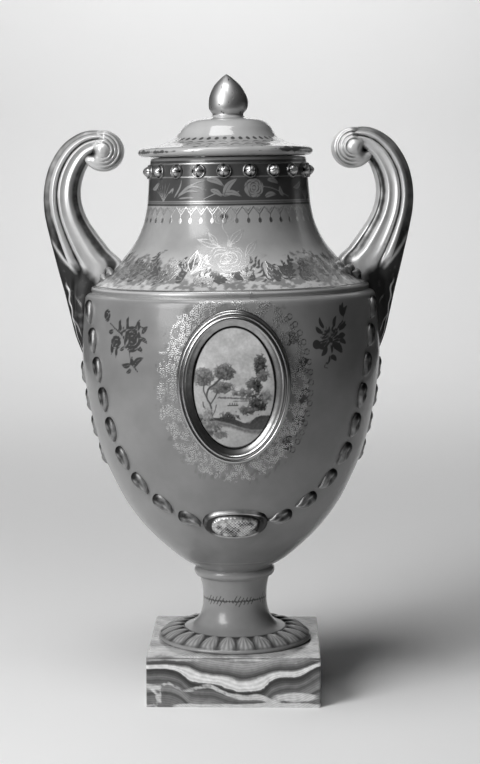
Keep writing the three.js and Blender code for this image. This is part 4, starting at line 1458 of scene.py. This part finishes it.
# %% Lid
LID_SEAT = 383.1
LID_DRIFT = np.array([(-1.9, 370), (-1.9, 394), (0.3, 413), (0.8, 421), (-0.4, 441)])
FLANGE, FLANGE_INSIDE, FLANGE_FOOT = 47.2, 42.2, 373.1
brim_line = curve([
    (50, 383.1), (57, 383.2), (60.3, 383.9), (61.8, 385.4), (62, 387), (61.2, 388.6),
    (59.2, 389.6), (55.5, 390.2), (51, 391), (47, 391.9), (43.2, 393.2)], 120)
dome_line = curve([
    (43.2, 393.2), (39.6, 394.9), (36.6, 396.6), (33.8, 400), (30.6, 404.4), (25.6, 408.4),
    (17, 410.2), (12.6, 410.6)], 100)
bud_line = curve([
    (11.4, 411.6), (11.0, 413.2), (13.4, 416.4), (14, 421.2), (12.8, 426.6), (9.3, 433),
    (4.8, 437.6), (1.4, 440.2), (0, 441)], 120)
LID_INSIDE = [(0, 404), (18, 404), (31, 394), (FLANGE_INSIDE, 388.5),
              (FLANGE_INSIDE, FLANGE_FOOT), (FLANGE, FLANGE_FOOT), (FLANGE, LID_SEAT)]


def drift(p):
    """Slides the lid and its bud sideways by height."""
    p[:, 0] += np.interp(p[:, 2], LID_DRIFT[:, 1], LID_DRIFT[:, 0])
    return p


lid_outline = np.vstack([
    LID_INSIDE, even(brim_line, 0.5), even(dome_line, 0.7), even(bud_line, 0.6)])
lid_form = move(move(turned(lid_outline, 360), crowd_front), drift)
piece("lid_cover", lid_form, lid_glaze, "lid", decorate=paint_lid)

# %% [markdown]
# ## Plinth
# A square block, cast hollow, with edges that the glaze has softened. One cube is hollowed
# from beneath by an inset and a push upwards, and then bevelled. Planes cut it into small
# squares, because the marbling is stored on its vertices.

# %% Plinth
PLINTH_WALL, PLINTH_ROOF = 7, 8
PLINTH_SOFTNESS = 1.3
MARBLE_STEP = 2.5


def plinth_form():
    """A bevelled block with a hollow beneath."""
    bm = bmesh.new()
    bmesh.ops.create_cube(bm, size=1)
    bmesh.ops.scale(bm, vec=(PLINTH_SIDE, PLINTH_SIDE, PLINTH_HEIGHT), verts=bm.verts)
    bmesh.ops.translate(bm, vec=(0, 0, PLINTH_HEIGHT / 2), verts=bm.verts)
    bottom = [f for f in bm.faces if f.normal.z < -0.5]
    bmesh.ops.inset_region(bm, faces=bottom, thickness=PLINTH_WALL)
    bmesh.ops.translate(bm, vec=(0, 0, PLINTH_HEIGHT - PLINTH_ROOF), verts=bottom[0].verts)
    outer = [e for e in bm.edges if all(abs(v.co.x) > 60 and abs(v.co.y) > 60 for v in e.verts)
             or all(v.co.z > 35.9 for v in e.verts)]
    bmesh.ops.bevel(bm, geom=outer, offset=PLINTH_SOFTNESS, offset_type="OFFSET", segments=4,
                    profile=0.5, affect="EDGES", material=-1)
    # The bevel rounds the bottom corners too; the rim that it stands on stays flat.
    for v in bm.verts:
        v.co.z *= v.co.z > PLINTH_SOFTNESS
    for axis, reach in enumerate((PLINTH_SIDE / 2, PLINTH_SIDE / 2, PLINTH_HEIGHT)):
        for cut in np.arange(-reach + MARBLE_STEP, reach, MARBLE_STEP):
            place = [cut * (i == axis) for i in range(3)]
            bmesh.ops.bisect_plane(bm, geom=[*bm.verts, *bm.edges, *bm.faces], dist=0.01,
                                   plane_co=place, plane_no=[float(i == axis) for i in range(3)])
    return bm


piece("plinth_block", plinth_form(), agate_glaze, "plinth", fired=False,
      crease=30, decorate=paint_agate)


# %% [markdown]
# ## Stage, light and camera
# A pale sweep of card stands in for a studio table. It bends up two metres behind the
# urn, so that the urn can be walked round and seen from behind. One broad window of light
# at the left, high and towards the camera, shapes the forms and leaves the right side
# darker. A skylight fills from above, and a strip lights the card behind.

# %% Stage
SWEEP_BEND = 2


def sweep():
    """A floor that curves up into a backdrop."""
    bm = bmesh.new()
    line = [(0, -0.45, 0), (0, SWEEP_BEND, 0)]
    for a in np.linspace(0, math.pi / 2, 24)[1:]:
        line.append((0, SWEEP_BEND + 0.5 * math.sin(a), 0.5 - 0.5 * math.cos(a)))
    line.append((0, SWEEP_BEND + 0.5, 1.6))
    verts = [bm.verts.new((-0.9, y, z)) for _, y, z in line]
    edges = [bm.edges.new(pair) for pair in zip(verts, verts[1:])]
    made = bmesh.ops.extrude_edge_only(bm, edges=edges)["geom"]
    far = [v for v in made if isinstance(v, bmesh.types.BMVert)]
    bmesh.ops.translate(bm, vec=(1.8, 0, 0), verts=far)
    bmesh.ops.recalc_face_normals(bm, faces=bm.faces)
    mesh = bpy.data.meshes.new("studio_sweep")
    bm.to_mesh(mesh)
    bm.free()
    mesh.polygons.foreach_set("use_smooth", np.ones(len(mesh.polygons), bool))
    made = bpy.data.objects.new("studio_sweep", mesh)
    bpy.context.scene.collection.objects.link(made)
    mesh.materials.append(plain("studio_card", "#f2f2f2", 0.9))


sweep()


# %% Light
def panel(name, place, target, size, power):
    """A rectangular soft light that looks at a point."""
    lamp = bpy.data.lights.new(name, "AREA")
    lamp.shape = "RECTANGLE"
    lamp.size, lamp.size_y = size
    lamp.energy = power
    made = bpy.data.objects.new(name, lamp)
    made.location = place
    made.rotation_euler = (Vector(target) - Vector(place)).to_track_quat("-Z", "Y").to_euler()
    bpy.context.scene.collection.objects.link(made)


URN_MIDDLE = (0, 0, 0.25)
panel("window", (-1.05, -1.08, 0.95), URN_MIDDLE, (0.64, 1.3), 27)
panel("backdrop_light", (-0.1, 1.5, 1.6), (-0.15, 2.5, 0.65), (1.6, 0.4), 17)
panel("skylight", (-0.25, -0.45, 1.75), (-0.05, 0, 0.25), (0.9, 0.7), 11)
world = bpy.data.worlds.new("studio_air")
world.use_nodes = True
world.node_tree.nodes["Background"].inputs["Color"].default_value = (1, 1, 1, 1)
world.node_tree.nodes["Background"].inputs["Strength"].default_value = 0.012
bpy.context.scene.world = world

# %% [markdown]
# The camera stands as high as the studs on the neck and looks down six degrees, from
# 1.3 m.

# %% Camera
camera = bpy.data.objects.new("camera", bpy.data.cameras.new("camera"))
camera.data.lens = 87.17
camera.data.sensor_fit = "VERTICAL"
camera.data.sensor_height = 36
camera.data.clip_end = 20
camera.location = (0.0257 + PLINTH_MIDDLE[0] * MM, -1.3215 + PLINTH_MIDDLE[1] * MM, 0.3694)
camera.rotation_euler = (math.radians(90 - 6.35), 0, math.radians(0.96))
bpy.context.scene.collection.objects.link(camera)
bpy.context.scene.camera = camera
bpy.context.scene.view_settings.view_transform = "Standard"
